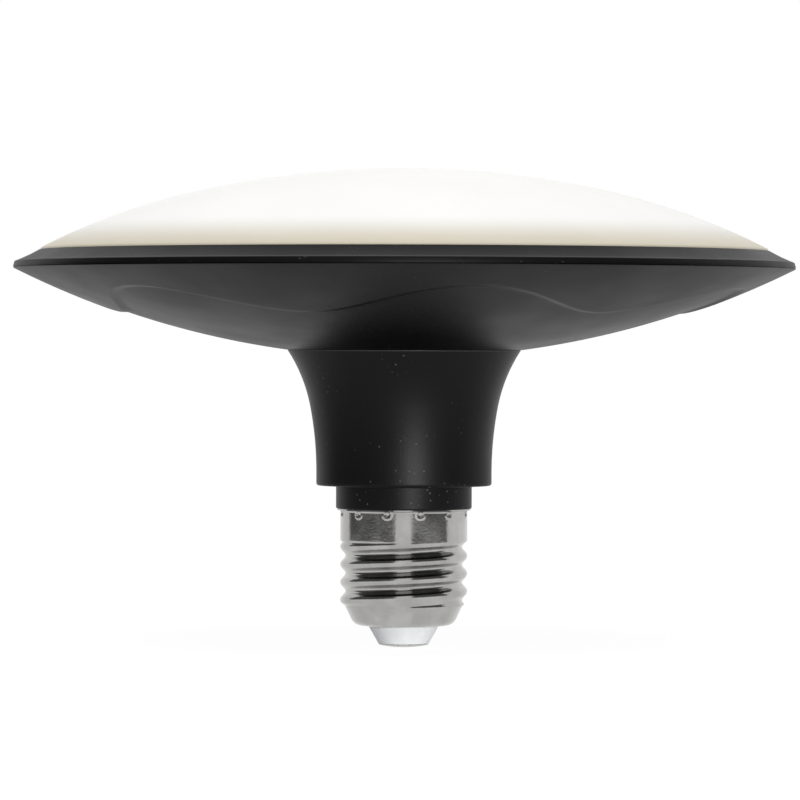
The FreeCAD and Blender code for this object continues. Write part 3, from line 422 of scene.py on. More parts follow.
def wave_tree():
    sizes = ["Sphere radius", "Wave radius", "Wave amplitude", "Lobes", "Wave turn", "Ramp width",
             "Land height", "Seat radius", "Rim radius"]
    board, wires = new_tree("raised_wave", sizes)
    x, y, z = board.split(board.node("GeometryNodeInputPosition"))
    reach = (x * x + y * y).math("SQRT")
    angle = x.math("ARCTAN2", 0.0 - y)
    swing = ((angle - wires["Wave turn"]) * wires["Lobes"]).math("COSINE")
    ramp_inner = wires["Wave radius"] - wires["Wave amplitude"]
    rise = reach.between(wires["Seat radius"], ramp_inner, 0.0, 1.0)
    ramp_outer = wires["Wave radius"] + wires["Ramp width"]
    fall = reach.between(ramp_outer, wires["Rim radius"], 1.0, 0.0)
    new_reach = reach + swing * wires["Wave amplitude"] * rise * fall
    share = ((reach - wires["Wave radius"]) / wires["Ramp width"]).clamped()
    # The ramp is mostly straight, with a little easing at its foot and its top.
    land = (share * 0.7 + share.between(0.0, 1.0) * 0.3) * wires["Land height"]
    sphere = wires["Sphere radius"]
    old_drop = (sphere * sphere - reach * reach).math("SQRT")
    new_drop = (sphere * sphere - new_reach * new_reach).math("SQRT")
    lean = sphere / new_drop
    new_z = z + old_drop - new_drop - land * lean
    grow = new_reach / reach
    moved = board.node("ShaderNodeCombineXYZ", inputs={0: x * grow, 1: y * grow, 2: new_z})
    move_skin(board, wires, moved)
    return board.tree


def shaped(piece, tree, values, finish):
    """Run a geometry tree on a piece and keep the result as the piece's plain mesh."""
    modifier = piece.modifiers.new(tree.name, "NODES")
    modifier.node_group = tree
    for socket in tree.interface.items_tree:
        if socket.item_type != "SOCKET" or socket.in_out != "INPUT":
            continue
        if socket.name in values:
            modifier[socket.identifier] = float(values[socket.name])
        elif socket.name == "Finish":
            modifier[socket.identifier] = finish
    bpy.context.view_layer.update()
    seen = piece.evaluated_get(bpy.context.evaluated_depsgraph_get())
    plain = bpy.data.meshes.new_from_object(seen)
    piece.modifiers.remove(modifier)
    old = piece.data
    piece.data = plain
    bpy.data.meshes.remove(old)
    return piece


def mark_skin(piece, test):
    """Store 1 in the attribute skin on the points that a tree may move."""
    marks = piece.data.attributes.new("skin", "FLOAT", "POINT")
    marks.data.foreach_set("value", [1.0 if test(vertex.co) else 0.0 for vertex in piece.data.vertices])


# %% Dish outline and wave
NOTCH_LOW = 0.02 * MM
NOTCH_HIGH = 0.22 * MM
NOTCH_DEPTH = 0.22 * MM
DISH_FLOOR = 2.0 * MM
RAMP_MARGIN = 0.1 * MM
SKIN_BAND = 0.45 * MM
SEAT_EDGE = 0.3 * MM
RIM_LOW_EDGE = 0.04 * MM
RIM_TOP_EDGE = 0.12 * MM


def dish_level(reach, inset=0.0):
    return DISH_CENTRE - math.sqrt((DISH_RADIUS - inset) ** 2 - reach ** 2)


def make_dish(finish):
    seat_radius = math.sqrt(DISH_RADIUS ** 2 - (DISH_RADIUS - SEAT_RISE) ** 2)
    rim_top_radius = RIM_RADIUS - RIM_DRAFT
    floor_top = SEAT_LEVEL + DISH_FLOOR
    bore = DIFFUSER_EDGE - DIFFUSER_WALL
    inner_radius = DISH_RADIUS - DISH_WALL
    edge_level = dish_level(RIM_RADIUS)
    inner_floor = math.sqrt(inner_radius ** 2 - (DISH_CENTRE - floor_top) ** 2)
    ramp_start, ramp_stop = WAVE_RADIUS - RAMP_MARGIN, WAVE_RADIUS + RAMP_WIDTH + RAMP_MARGIN
    stations = [seat_radius + (ramp_start - seat_radius) * step / 30 for step in range(30)]
    stations += [ramp_start + (ramp_stop - ramp_start) * step / 14 for step in range(14)]
    stations += [ramp_stop + (RIM_RADIUS - ramp_stop) * step / 20 for step in range(21)]
    underside = [np.array([reach, dish_level(reach)]) for reach in stations]
    notch_reach = RIM_RADIUS - NOTCH_DEPTH
    notch_low, notch_high = edge_level + NOTCH_LOW, edge_level + NOTCH_HIGH
    runs = [
        line((DISH_HOLE, SEAT_LEVEL), (seat_radius, SEAT_LEVEL)),
        underside,
        line((RIM_RADIUS, edge_level), (RIM_RADIUS, notch_low), (notch_reach, notch_low),
             (notch_reach, notch_high), (RIM_RADIUS, notch_high), (rim_top_radius, RIM_TOP)),
        line((rim_top_radius, RIM_TOP), (bore, RIM_TOP)),
        line((bore, RIM_TOP), (bore, dish_level(bore, DISH_WALL))),
        arc((bore, dish_level(bore, DISH_WALL)), (inner_floor, floor_top), inner_radius, -1, 24),
        line((inner_floor, floor_top), (DISH_HOLE, floor_top)),
        line((DISH_HOLE, floor_top), (DISH_HOLE, SEAT_LEVEL)),
    ]
    points = outline(runs, [SEAT_EDGE, RIM_LOW_EDGE, RIM_TOP_EDGE, 0, 0, 0, 0, 0])
    dish = turned("black_dish", points, 384)
    wall_top = RIM_TOP - 0.2 * MM

    def is_skin(spot):
        reach = math.hypot(spot.x, spot.y)
        on_skin = abs(spot.z - dish_level(min(reach, RIM_RADIUS))) < SKIN_BAND
        return on_skin and reach > seat_radius - 0.1 * MM and spot.z < wall_top

    mark_skin(dish, is_skin)
    sizes = {"Sphere radius": DISH_RADIUS, "Wave radius": WAVE_RADIUS,
             "Wave amplitude": WAVE_AMPLITUDE, "Lobes": WAVE_COUNT, "Wave turn": WAVE_TURN,
             "Ramp width": RAMP_WIDTH, "Land height": LAND_HEIGHT,
             "Seat radius": seat_radius, "Rim radius": RIM_RADIUS}
    return smooth(shaped(dish, wave_tree(), sizes, finish))


# %% [markdown]
# ## The neck
#
# The neck is one moulding: a slow curve runs into a tighter flare up to the dish, and a collar
# below meets the cap. It is turned like the dome, with small roundings at its mould edges.

# %% Neck outline
NECK_RADIUS = 17.97 * MM
NECK_LOW = 10.65 * MM
NECK_STRAIGHT_TOP = 13.5 * MM
NECK_TURN = 26.9 * MM
NECK_SLOW_RADIUS = 70.7 * MM
NECK_FLARE_RADIUS = 32.0 * MM
NECK_WALL = 1.9 * MM
NECK_EDGE = 0.6 * MM
NECK_TOP_EDGE = 0.2 * MM
COLLAR_EDGE = 0.25 * MM
COLLAR_FILLET = 0.2 * MM
COLLAR_RADIUS = 13.92 * MM
SPIGOT_RADIUS = 12.53 * MM
SPIGOT_WALL = 1.7 * MM


def make_neck():
    sine = (NECK_TURN - NECK_STRAIGHT_TOP) / NECK_SLOW_RADIUS
    cosine = math.sqrt(1 - sine ** 2)
    turn_radius = NECK_RADIUS + NECK_SLOW_RADIUS * (1 - cosine)
    flare_centre = (turn_radius + NECK_FLARE_RADIUS * cosine, NECK_TURN - NECK_FLARE_RADIUS * sine)

    def flare_reach(wall):
        rise = SEAT_LEVEL - flare_centre[1]
        return flare_centre[0] - math.sqrt((NECK_FLARE_RADIUS + wall) ** 2 - rise ** 2)

    slow = arc((NECK_RADIUS, NECK_STRAIGHT_TOP), (turn_radius, NECK_TURN), NECK_SLOW_RADIUS, 1, 20)
    flare = arc((turn_radius, NECK_TURN), (flare_reach(0), SEAT_LEVEL), NECK_FLARE_RADIUS, 1, 24)
    outside = divided((NECK_RADIUS, NECK_LOW), (NECK_RADIUS, NECK_STRAIGHT_TOP), 3)[:-1] + slow[:-1] + flare
    inner_slow = NECK_SLOW_RADIUS + NECK_WALL
    inner_turn = (NECK_RADIUS + NECK_SLOW_RADIUS - inner_slow * cosine,
                  NECK_STRAIGHT_TOP + inner_slow * sine)
    inner_foot = (NECK_RADIUS - NECK_WALL, NECK_STRAIGHT_TOP)
    inside = arc((flare_reach(NECK_WALL), SEAT_LEVEL), inner_turn, NECK_FLARE_RADIUS + NECK_WALL, -1, 12)
    inside += arc(inner_turn, inner_foot, inner_slow, -1, 10)[1:]
    floor_top = NECK_LOW + NECK_WALL
    bore = SPIGOT_RADIUS - SPIGOT_WALL
    runs = [
        line((bore, SPIGOT_LOW), (SPIGOT_RADIUS, SPIGOT_LOW)),
        line((SPIGOT_RADIUS, SPIGOT_LOW), (SPIGOT_RADIUS, CAP_MOUTH)),
        line((SPIGOT_RADIUS, CAP_MOUTH), (COLLAR_RADIUS, CAP_MOUTH)),
        line((COLLAR_RADIUS, CAP_MOUTH), (COLLAR_RADIUS, NECK_LOW)),
        line((COLLAR_RADIUS, NECK_LOW), (NECK_RADIUS, NECK_LOW)),
        outside,
        line(outside[-1], inside[0]),
        inside,
        line(inside[-1], (NECK_RADIUS - NECK_WALL, floor_top), (bore, floor_top)),
        line((bore, floor_top), (bore, SPIGOT_LOW)),
    ]
    roundings = [0, 0, COLLAR_EDGE, COLLAR_FILLET, NECK_EDGE, NECK_TOP_EDGE, 0, 0, 0, 0]
    return smooth(turned("black_neck", outline(runs, roundings), 256))


neck = make_neck()

# %% [markdown]
# ## The screw cap
#
# The cap is thin nickel-plated sheet. Its mouth is flared over the collar, twelve dimples are
# punched round the skirt, and the thread is rolled into the wall, so crest and root are both
# round. A Screw modifier makes a sharp spiral that is hard to fade out, so the wall is turned
# first and Geometry Nodes then moves each point in or out by a rule of its angle and height.

# %% Geometry Nodes tree for thread and dimples
CREST_POWER = 1.25


def thread_tree():
    sizes = ["Pitch", "Depth", "Length", "Start", "Fade in", "Fade out", "Phase", "Skirt radius",
             "Dimples", "Dimple level", "Dimple radius", "Dimple depth"]
    board, wires = new_tree("rolled_thread", sizes)
    x, y, z = board.split(board.node("GeometryNodeInputPosition"))
    reach = (x * x + y * y).math("SQRT")
    angle = y.math("ARCTAN2", x)
    crest = wires["Phase"] + z * (2 * math.pi) / wires["Pitch"]
    fade_in = (0.0 - z).between(wires["Start"], wires["Start"] + wires["Fade in"])
    fade_out = ((wires["Length"] + z) / wires["Fade out"]).clamped()
    offset = wires["Depth"] * 0.5 * fade_in * fade_out
    # A power over 1 makes the crests a little broader than the roots.
    dip = (0.5 - (angle - crest).math("COSINE") * 0.5) ** CREST_POWER
    roll = 0.0 - offset * 2.0 * dip
    in_thread = z.math("LESS_THAN", 0.0) * (z + wires["Length"]).math("GREATER_THAN", 0.0)
    thread = roll - wires["Depth"] * (1.0 - fade_out) * in_thread
    # Dimples repeat round the skirt, half a step off the front.
    step = (2 * math.pi) / wires["Dimples"]
    turn = ((angle + 4 * math.pi) / step).math("FRACT") - 0.5
    side = turn * step * wires["Skirt radius"] / wires["Dimple radius"]
    up = (z - wires["Dimple level"]) / wires["Dimple radius"]
    far = (side * side + up * up).math("SQRT")
    pit = (1.0 - far * far).math("MAXIMUM", 0.0) * wires["Dimple depth"]
    lip = far.between(0.7, 1.05) * far.between(1.05, 1.7, 1.0, 0.0) * wires["Dimple depth"] * 0.3
    new_reach = reach + thread - pit + lip
    grow = new_reach / reach
    moved = board.node("ShaderNodeCombineXYZ", inputs={0: x * grow, 1: y * grow, 2: z})
    move_skin(board, wires, moved)
    return board.tree


# %% Cap outline, thread and dimples
SKIRT_RADIUS = 13.03 * MM
SKIRT_TOP = 5.35 * MM
LIP_RISE = 0.32 * MM
SHELL_WALL = 0.4 * MM
THREAD_PITCH = 3.629 * MM
THREAD_DEPTH = 1.05 * MM
THREAD_LENGTH = 14.1 * MM
THREAD_START = 0.55 * MM
THREAD_FADE_IN = 0.5 * MM
THREAD_FADE_OUT = 0.6 * MM
THREAD_PHASE = math.radians(7.0)
NOSE_FLAT_RADIUS = 8.35 * MM
NOSE_ROUND = 1.6 * MM
NOSE_CORNER_RADIUS = 10.15 * MM
DIMPLE_ZONE_LOW = 3.3 * MM
LIP_ROUND = 0.6 * MM
LIP_EDGE = 0.12 * MM
HOLE_GAP = 0.1 * MM
INNER_STEP_LEVEL = -2.0 * MM
THREAD_STEPS = 96
DIMPLE_COUNT = 12
DIMPLE_LEVEL = 4.95 * MM
DIMPLE_RADIUS = 0.66 * MM
DIMPLE_DEPTH = 0.38 * MM
INSULATOR_TOP_RADIUS = 7.27 * MM


def make_cap(finish):
    root_radius = SKIRT_RADIUS - THREAD_DEPTH
    bore = SKIRT_RADIUS - SHELL_WALL
    inner_root = root_radius - SHELL_WALL
    thread_low = -THREAD_LENGTH
    mouth = MOUTH_RADIUS
    nose_corner = (NOSE_CORNER_RADIUS, NOSE_LOW)
    hole = INSULATOR_TOP_RADIUS + HOLE_GAP
    skirt = divided((SKIRT_RADIUS, 0), (SKIRT_RADIUS, DIMPLE_ZONE_LOW), 4)[:-1]
    skirt += divided((SKIRT_RADIUS, DIMPLE_ZONE_LOW), (SKIRT_RADIUS, SKIRT_TOP), 18)
    outer = divided((SKIRT_RADIUS, thread_low), (SKIRT_RADIUS, 0), THREAD_STEPS)
    lip = arc((SKIRT_RADIUS, SKIRT_TOP), (mouth, SKIRT_TOP + LIP_RISE), LIP_ROUND, 1, 5)
    nose_inside = NOSE_LOW + SHELL_WALL
    runs = [
        line((hole, NOSE_LOW), nose_corner),
        line(nose_corner, (root_radius, thread_low)),
        outer[1:-1] + skirt,
        lip + line((mouth, CAP_MOUTH)),
        line((mouth, CAP_MOUTH), (mouth - SHELL_WALL, CAP_MOUTH)),
        line((mouth - SHELL_WALL, CAP_MOUTH), (bore, SKIRT_TOP - LIP_ROUND), (bore, 0),
             (inner_root, INNER_STEP_LEVEL), (inner_root, thread_low), (NOSE_FLAT_RADIUS, nose_inside),
             (hole, nose_inside)),
        line((hole, nose_inside), (hole, NOSE_LOW)),
    ]
    points = outline(runs, [NOSE_ROUND, 0, 0, LIP_EDGE, 0, 0, 0], steps=8)
    cap = turned("nickel_cap", points, 384)

    def is_skin(spot):
        reach = math.hypot(spot.x, spot.y)
        on_wall = abs(reach - SKIRT_RADIUS) < 0.02 * MM
        on_wall = on_wall and thread_low < spot.z < SKIRT_TOP + 0.01 * MM
        on_flare = reach > SKIRT_RADIUS and SKIRT_TOP < spot.z < CAP_MOUTH - 0.14 * MM
        return on_wall or on_flare

    mark_skin(cap, is_skin)
    sizes = {"Pitch": THREAD_PITCH, "Depth": THREAD_DEPTH, "Length": THREAD_LENGTH,
             "Start": THREAD_START, "Fade in": THREAD_FADE_IN, "Fade out": THREAD_FADE_OUT,
             "Phase": THREAD_PHASE, "Skirt radius": SKIRT_RADIUS, "Dimples": DIMPLE_COUNT,
             "Dimple level": DIMPLE_LEVEL, "Dimple radius": DIMPLE_RADIUS,
             "Dimple depth": DIMPLE_DEPTH}
    return smooth(shaped(cap, thread_tree(), sizes, finish), math.radians(60))


# %% [markdown]
# ## The tip
#
# A white cone insulates the centre contact from the cap, and the contact is a shallow dome of
# plated metal. Both are small turned pieces with softened edges.

# %% Insulator and contact outlines
INSULATOR_BORE = 0.9 * MM
INSULATOR_STEP = 0.03 * MM
INSULATOR_LIP = 0.6 * MM
INSULATOR_EDGE = 0.12 * MM
CONTACT_RIM = 0.22 * MM
CONTACT_STEM = 0.8 * MM
CONTACT_EDGE = 0.1 * MM


def make_insulator():
    bore = INSULATOR_BORE
    seat = NOSE_LOW + SHELL_WALL
    low_radius = CONTACT_RADIUS + INSULATOR_STEP
    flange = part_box("cap_insulator")[1].x
    runs = [
        line((bore, INSULATOR_LOW), (low_radius, INSULATOR_LOW)),
        divided((low_radius, INSULATOR_LOW), (INSULATOR_TOP_RADIUS, NOSE_LOW), 8),
        line((INSULATOR_TOP_RADIUS, NOSE_LOW), (INSULATOR_TOP_RADIUS, seat)),
        line((INSULATOR_TOP_RADIUS, seat), (flange, seat + INSULATOR_LIP), (flange, INSULATOR_TOP),
             (bore, INSULATOR_TOP)),
        line((bore, INSULATOR_TOP), (bore, INSULATOR_LOW)),
    ]
    return smooth(turned("white_insulator", outline(runs, [INSULATOR_EDGE, 0, 0, 0, 0]), 192))


def make_contact():
    edge_low = INSULATOR_LOW - CONTACT_RIM
    sag = edge_low - CONTACT_LOW
    bulge = (CONTACT_RADIUS ** 2 + sag ** 2) / (2 * sag)
    stem, stem_top = CONTACT_STEM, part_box("centre_contact")[1].z
    runs = [
        arc((0, CONTACT_LOW), (CONTACT_RADIUS, edge_low), bulge, -1, 16),
        line((CONTACT_RADIUS, edge_low), (CONTACT_RADIUS, INSULATOR_LOW)),
        line((CONTACT_RADIUS, INSULATOR_LOW), (stem, INSULATOR_LOW), (stem, stem_top), (0, stem_top)),
    ]
    points = outline(runs, [CONTACT_EDGE, 0, 0], closed=False)
    return smooth(turned("centre_dome", points, 192, closed=False))


insulator = make_insulator()
contact = make_contact()

# %% [markdown]
# ## Finishes
#
# Each finish is a Principled shader. What makes it look real is small: grain in moulded plastic,
# dust, faint streaks in rolled metal. These come from noise on object coordinates, so they stay
# with the piece from every side.

# %% A finish and its helpers
class Finish(Board):
    """A material with one Principled shader, whose patterns read object coordinates."""

    def __init__(self, name, **plain):
        self.material = bpy.data.materials.new(name)
        self.material.use_nodes = True
        super().__init__(self.material.node_tree)
        self.shader = self.tree.nodes["Principled BSDF"]
        self.spot = self.node("ShaderNodeTexCoord", output="Object")
        for name, value in plain.items():
            self.shader.inputs[name.replace("_", " ").title().replace("Ior", "IOR")].default_value = value

    def feed(self, name, wire):
        self.tree.links.new(wire.socket, self.shader.inputs[name])

    def noise(self, scale, detail=2.0, stretch=(1, 1, 1)):
        """Noise of a scale per metre, from 0 to 1, drawn out along an axis by a small stretch."""
        where = self.spot
        if stretch != (1, 1, 1):
            where = self.node("ShaderNodeVectorMath", {"operation": "MULTIPLY"}, {0: self.spot, 1: stretch})
        return self.node("ShaderNodeTexNoise", {}, {"Vector": where, "Scale": scale, "Detail": detail})

    def blend(self, share, low, high):
        """A colour between two others."""
        settings = {"data_type": "RGBA"}
        return self.node("ShaderNodeMix", settings, {0: share, 6: low + (1,), 7: high + (1,)}, output=2)

    def bump(self, height, strength, distance):
        """Relief from a height wire, in metres."""
        inputs = {"Strength": strength, "Distance": distance, "Height": height}
        self.feed("Normal", self.node("ShaderNodeBump", {}, inputs))


# %% [markdown]
# The dome's opal plastic passes light. Towards its middle it shows the white board behind it, and
# towards its edge the bezel ring and the dish keep light out, so a band of warm cream is left. A
# translucent shader would need many samples for this, so this light and shade are painted into the
# colour: painted shade makes it cream near the rim and painted light makes it white towards the
# middle, by the distance from the axis. Very faint clouding keeps it from looking like flat paint.

# %% Opal plastic
EDGE_SHADE_START = 61.8 * MM
EDGE_SHADE_FULL = 75.0 * MM


def opal_plastic():
    opal = Finish("opal_plastic", specular_ior_level=0.10)
    x, y = opal.split(opal.spot)[:2]
    reach = (x * x + y * y).math("SQRT")
    # Painted shade near the rim, where the bezel and the dish keep light out, and painted light from the
    # board in the middle.
    painted_edge_shading = reach.between(EDGE_SHADE_START, EDGE_SHADE_FULL)
    clouds = opal.noise(45.0, 3.0).between(0.3, 0.7)
    shade_cream = opal.blend(clouds, (0.565, 0.520, 0.415), (0.580, 0.535, 0.430))
    white = opal.blend(clouds, (0.845, 0.838, 0.822), (0.865, 0.858, 0.842))
    mixed = opal.node("ShaderNodeMix", {"data_type": "RGBA"}, {0: painted_edge_shading, 6: white, 7: shade_cream}, output=2)
    opal.feed("Base Color", mixed)
    opal.feed("Roughness", opal.noise(300.0).between(0.3, 0.7, 0.36, 0.42))
    return opal.material


# %% [markdown]
# The housing is black plastic with a fine eroded grain from its mould. The grain is far below the
# size of a face, so it is a bump, and light dust specks lie on it here and there. Two thin lines
# are painted highlights, a little lighter where a rounded edge would catch the light: the neck's top
# at its seam with the dish, and the bezel's lower edge.

# %% Black satin plastic
SEAM_HIGHLIGHT_LEVEL = SEAT_LEVEL - 0.13 * MM
BEZEL_HIGHLIGHT_LEVEL = RIM_TOP + 0.12 * MM


def black_plastic():
    black = Finish("black_plastic", specular_ior_level=0.08)
    height = black.split(black.spot)[2]
    # Painted highlights: thin lighter lines at the neck's seam and at the bezel's lower edge, where the
    # light would catch them.
    seam_highlight = (height - SEAM_HIGHLIGHT_LEVEL).math("ABSOLUTE").between(0.04 * MM, 0.12 * MM, 1.0, 0.0)
    painted_edge_shading = (height - BEZEL_HIGHLIGHT_LEVEL).math("ABSOLUTE").between(0.04 * MM, 0.14 * MM, 1.0, 0.0)
    cell_inputs = {"Vector": black.spot, "Scale": 900.0}
    cells = black.node("ShaderNodeTexVoronoi", {"feature": "DISTANCE_TO_EDGE"}, cell_inputs)
    grain = black.noise(4600.0, 1.0)
    dust_cells = black.node("ShaderNodeTexVoronoi", {}, {"Vector": black.spot, "Scale": 700.0})
    dust = dust_cells.between(0.08, 0.15, 1.0, 0.0) * black.noise(90.0).between(0.46, 0.62)
    patches = black.noise(60.0, 2.0)
    # The lighter colour mixes real dust specks with the two painted highlight lines.
    light = (dust * 0.55 + seam_highlight * 0.22 + painted_edge_shading * 0.35).clamped()
    black.feed("Base Color", black.blend(light, (0.0032, 0.0032, 0.0032), (0.10, 0.10, 0.095)))
    black.feed("Roughness", (patches.between(0.3, 0.7, 0.38, 0.43) + dust * 0.2).clamped())
    black.bump(grain + cells * 0.3, 0.4, 0.00006)
    return black.material


# %% [markdown]
# The cap's nickel is bright but not a mirror: rolling leaves fine lines round it and handling
# leaves dull patches. Both vary the roughness, and the lines add a very small relief.

# %% Nickel
def nickel():
    metal = Finish("nickel", metallic=1.0)
    lines = metal.noise(900.0, 3.0, (1, 1, 0.12))
    patches = metal.noise(220.0, 3.0)
    colour = metal.blend(patches.between(0.35, 0.7), (0.37, 0.366, 0.358), (0.45, 0.445, 0.436))
    metal.feed("Base Color", colour)
    metal.feed("Roughness", (patches.between(0.3, 0.75, 0.11, 0.18) + lines * 0.05).clamped())
    metal.bump(lines + metal.noise(2400.0, 2.0) * 0.6, 0.35, 0.00006)
    return metal.material


def contact_metal():
    metal = Finish("contact_metal", metallic=1.0)
    lines = metal.noise(1400.0, 2.0)
    metal.feed("Base Color", metal.blend(lines.between(0.3, 0.7), (0.42, 0.42, 0.41), (0.52, 0.52, 0.51)))
    metal.feed("Roughness", lines.between(0.3, 0.7, 0.26, 0.38))
    metal.bump(lines, 0.2, 0.00005)
    return metal.material


def white_insulator():
    white = Finish("white_insulator")
    clouds = white.noise(400.0, 3.0)
    white.feed("Base Color", white.blend(clouds.between(0.3, 0.7), (0.74, 0.75, 0.765), (0.79, 0.80, 0.81)))
    white.feed("Roughness", clouds.between(0.3, 0.7, 0.38, 0.48))
    white.bump(white.noise(2500.0), 0.12, 0.00004)
    return white.material


# %% [markdown]
# ## Hidden pieces
#
# The boards, driver parts and leads inside keep their CAD shapes. Each still gets a finish, so
# that the model looks right when it is opened up: a base colour with a little variation, its own
# roughness and a fine relief. One function makes them from a short list, except the driver
# board's, whose tracks need a pattern.

# %% Plain finishes for the inner pieces
def plain_finish(name, dark, light, roughness, scale, metallic=0.0, relief=0.15):
    made = Finish(name, metallic=metallic)
    clouds = made.noise(scale, 3.0)
    made.feed("Base Color", made.blend(clouds.between(0.3, 0.7), dark, light))
    made.feed("Roughness", clouds.between(0.3, 0.7, roughness - 0.05, roughness + 0.05))
    made.bump(made.noise(scale * 5, 2.0), relief, 0.00005)
    return made.material


def driver_board_finish():
    made = Finish("driver_board", roughness=0.45)
    track_inputs = {"Vector": made.spot, "Scale": 260.0}
    tracks = made.node("ShaderNodeTexVoronoi", {"distance": "CHEBYCHEV"}, track_inputs)
    copper = tracks.between(0.30, 0.34)
    made.feed("Base Color", made.blend(copper, (0.02, 0.10, 0.035), (0.035, 0.17, 0.06)))
    made.bump(copper, 0.2, 0.00005)
    return made.material


INNER = {
    "heat_spreader": ("bare_aluminium", (0.55, 0.55, 0.56), (0.66, 0.66, 0.67), 0.38, 300.0, 1.0),
    "led_board": ("white_board", (0.78, 0.78, 0.77), (0.84, 0.84, 0.83), 0.40, 200.0),
    "led_chips": ("light_chip", (0.75, 0.55, 0.10), (0.85, 0.66, 0.18), 0.35, 900.0),
    "board_connector": ("terminal_plastic", (0.72, 0.72, 0.70), (0.80, 0.80, 0.78), 0.40, 500.0),
    "board_screws": ("screw_steel", (0.45, 0.45, 0.46), (0.58, 0.58, 0.59), 0.32, 700.0, 1.0),
    "neck_screws": ("screw_steel", (0.45, 0.45, 0.46), (0.58, 0.58, 0.59), 0.32, 700.0, 1.0),
    "transformer": ("ferrite", (0.035, 0.035, 0.038), (0.07, 0.07, 0.075), 0.55, 600.0),
    "bulk_capacitor": ("capacitor_sleeve", (0.015, 0.02, 0.05), (0.025, 0.03, 0.07), 0.30, 400.0),
    "film_capacitor": ("film_block", (0.55, 0.36, 0.05), (0.66, 0.45, 0.08), 0.40, 500.0),
    "driver_chip": ("chip_epoxy", (0.02, 0.02, 0.021), (0.035, 0.035, 0.036), 0.55, 1200.0),
    "bridge_rectifier": ("chip_epoxy", (0.02, 0.02, 0.021), (0.035, 0.035, 0.036), 0.55, 1200.0),
    "filter_choke": ("choke_sleeve", (0.03, 0.12, 0.05), (0.05, 0.17, 0.07), 0.40, 500.0),
    "fuse_resistor": ("fuse_ceramic", (0.60, 0.52, 0.40), (0.70, 0.62, 0.50), 0.50, 700.0),
    "varistor": ("varistor_coat", (0.02, 0.07, 0.25), (0.04, 0.11, 0.34), 0.40, 600.0),
    "output_lead_red": ("red_insulation", (0.45, 0.02, 0.02), (0.55, 0.04, 0.03), 0.40, 600.0),
    "output_lead_black": ("black_insulation", (0.015, 0.015, 0.015), (0.03, 0.03, 0.03), 0.40, 600.0),
    "shell_lead": ("cap_lead_insulation", (0.60, 0.60, 0.58), (0.70, 0.70, 0.68), 0.45, 600.0),
    "contact_lead": ("cap_lead_insulation", (0.60, 0.60, 0.58), (0.70, 0.70, 0.68), 0.45, 600.0),
}


def coat(piece, material):
    """Give a piece one finish all over."""
    piece.data.materials.clear()
    piece.data.materials.append(material)


def coat_inner_pieces():
    made = {"driver_board": driver_board_finish()}
    for node, (name, dark, light, roughness, scale, *metallic) in INNER.items():
        if name not in made:
            made[name] = plain_finish(name, dark, light, roughness, scale, *metallic)
        coat(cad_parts[node], made[name])
    coat(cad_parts["driver_board"], made["driver_board"])
    return made


inner_finishes = coat_inner_pieces()
print("inner finishes:", len(inner_finishes))

# %% Outer pieces get their finishes and take the place of the CAD nodes
opal, black, plating = opal_plastic(), black_plastic(), nickel()
dish = make_dish(black)
cap = make_cap(plating)
OUTER = [
    (dome, "diffuser", "opal_plastic", opal),
    (bezel, "bezel_ring", "black_plastic", black),
    (dish, "dish_housing", "black_plastic", black),
    (neck, "neck_housing", "black_plastic", black),
    (cap, "screw_shell", "nickel", plating),
    (insulator, "cap_insulator", "white_insulator", white_insulator()),
    (contact, "centre_contact", "contact_metal", contact_metal()),
]
for piece, node, slot, material in OUTER:
    coat(piece, material)
    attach(piece, "root")
    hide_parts(node)
print("outer pieces:", [entry[0].name for entry in OUTER])

# %% [markdown]
# ## Floor and surroundings
#
# The background is white for the camera, for gloss and for glass, by Light Path, and its light on
# the lamp stays at a plain level. The floor is pale, mostly white to the camera, and keeps a share
# of its own shading so that the lamp's soft shadow stays on it.

# %% Floor and world
FLOOR_HALF = 60.0
SHADING_SHARE = 0.12
FLOOR_GLOW = 1.085
AMBIENT = 0.5


def studio_piece(name, corners, faces, material):
    """A mesh that belongs to the studio and not to the lamp."""
    data = bpy.data.meshes.new(name)
    data.from_pydata(corners, [], faces)
    made = bpy.data.objects.new(name, data)
    bpy.context.scene.collection.objects.link(made)
    made.data.materials.append(material)
    return made


def flat_corners(half, level):
    """The corners of a level square about the lamp's axis."""
    return [(-half, -half, level), (half, -half, level), (half, half, level), (-half, half, level)]


def seen_directly(board):
    """1 for the camera, for mirrored rays and for rays through glass, and 0 for plain light."""
    path = board.tree.nodes.new("ShaderNodeLightPath")
    camera_ray, glossy_ray, glass_ray = (
        Wire(board, path.outputs[name])
        for name in ("Is Camera Ray", "Is Glossy Ray", "Is Transmission Ray"))
    return camera_ray.math("MAXIMUM", glossy_ray).math("MAXIMUM", glass_ray)


def bare_material(name):
    material = bpy.data.materials.new(name)
    material.use_nodes = True
    board = Board(material.node_tree)
    board.tree.nodes.clear()
    return material, board


def floor_finish():
    material, board = bare_material("pale_floor")
    plain = board.node("ShaderNodeBsdfDiffuse", {}, {"Color": (0.8, 0.8, 0.8, 1)})
    white = board.node("ShaderNodeEmission", {}, {"Color": (1, 1, 1, 1), "Strength": FLOOR_GLOW})
    share = seen_directly(board) * (1 - SHADING_SHARE)
    mixed = board.node("ShaderNodeMixShader", {}, {0: share, 1: plain, 2: white})
    board.leave("ShaderNodeOutputMaterial", mixed)
    return material


def white_world():
    world = bpy.data.worlds.new("white_world")
    world.use_nodes = True
    bpy.context.scene.world = world
    board = Board(world.node_tree)
    board.tree.nodes.clear()
    strength = seen_directly(board) * (1.0 - AMBIENT) + AMBIENT
    back = board.node("ShaderNodeBackground", {}, {"Color": (1, 1, 1, 1), "Strength": strength})
    board.leave("ShaderNodeOutputWorld", back)


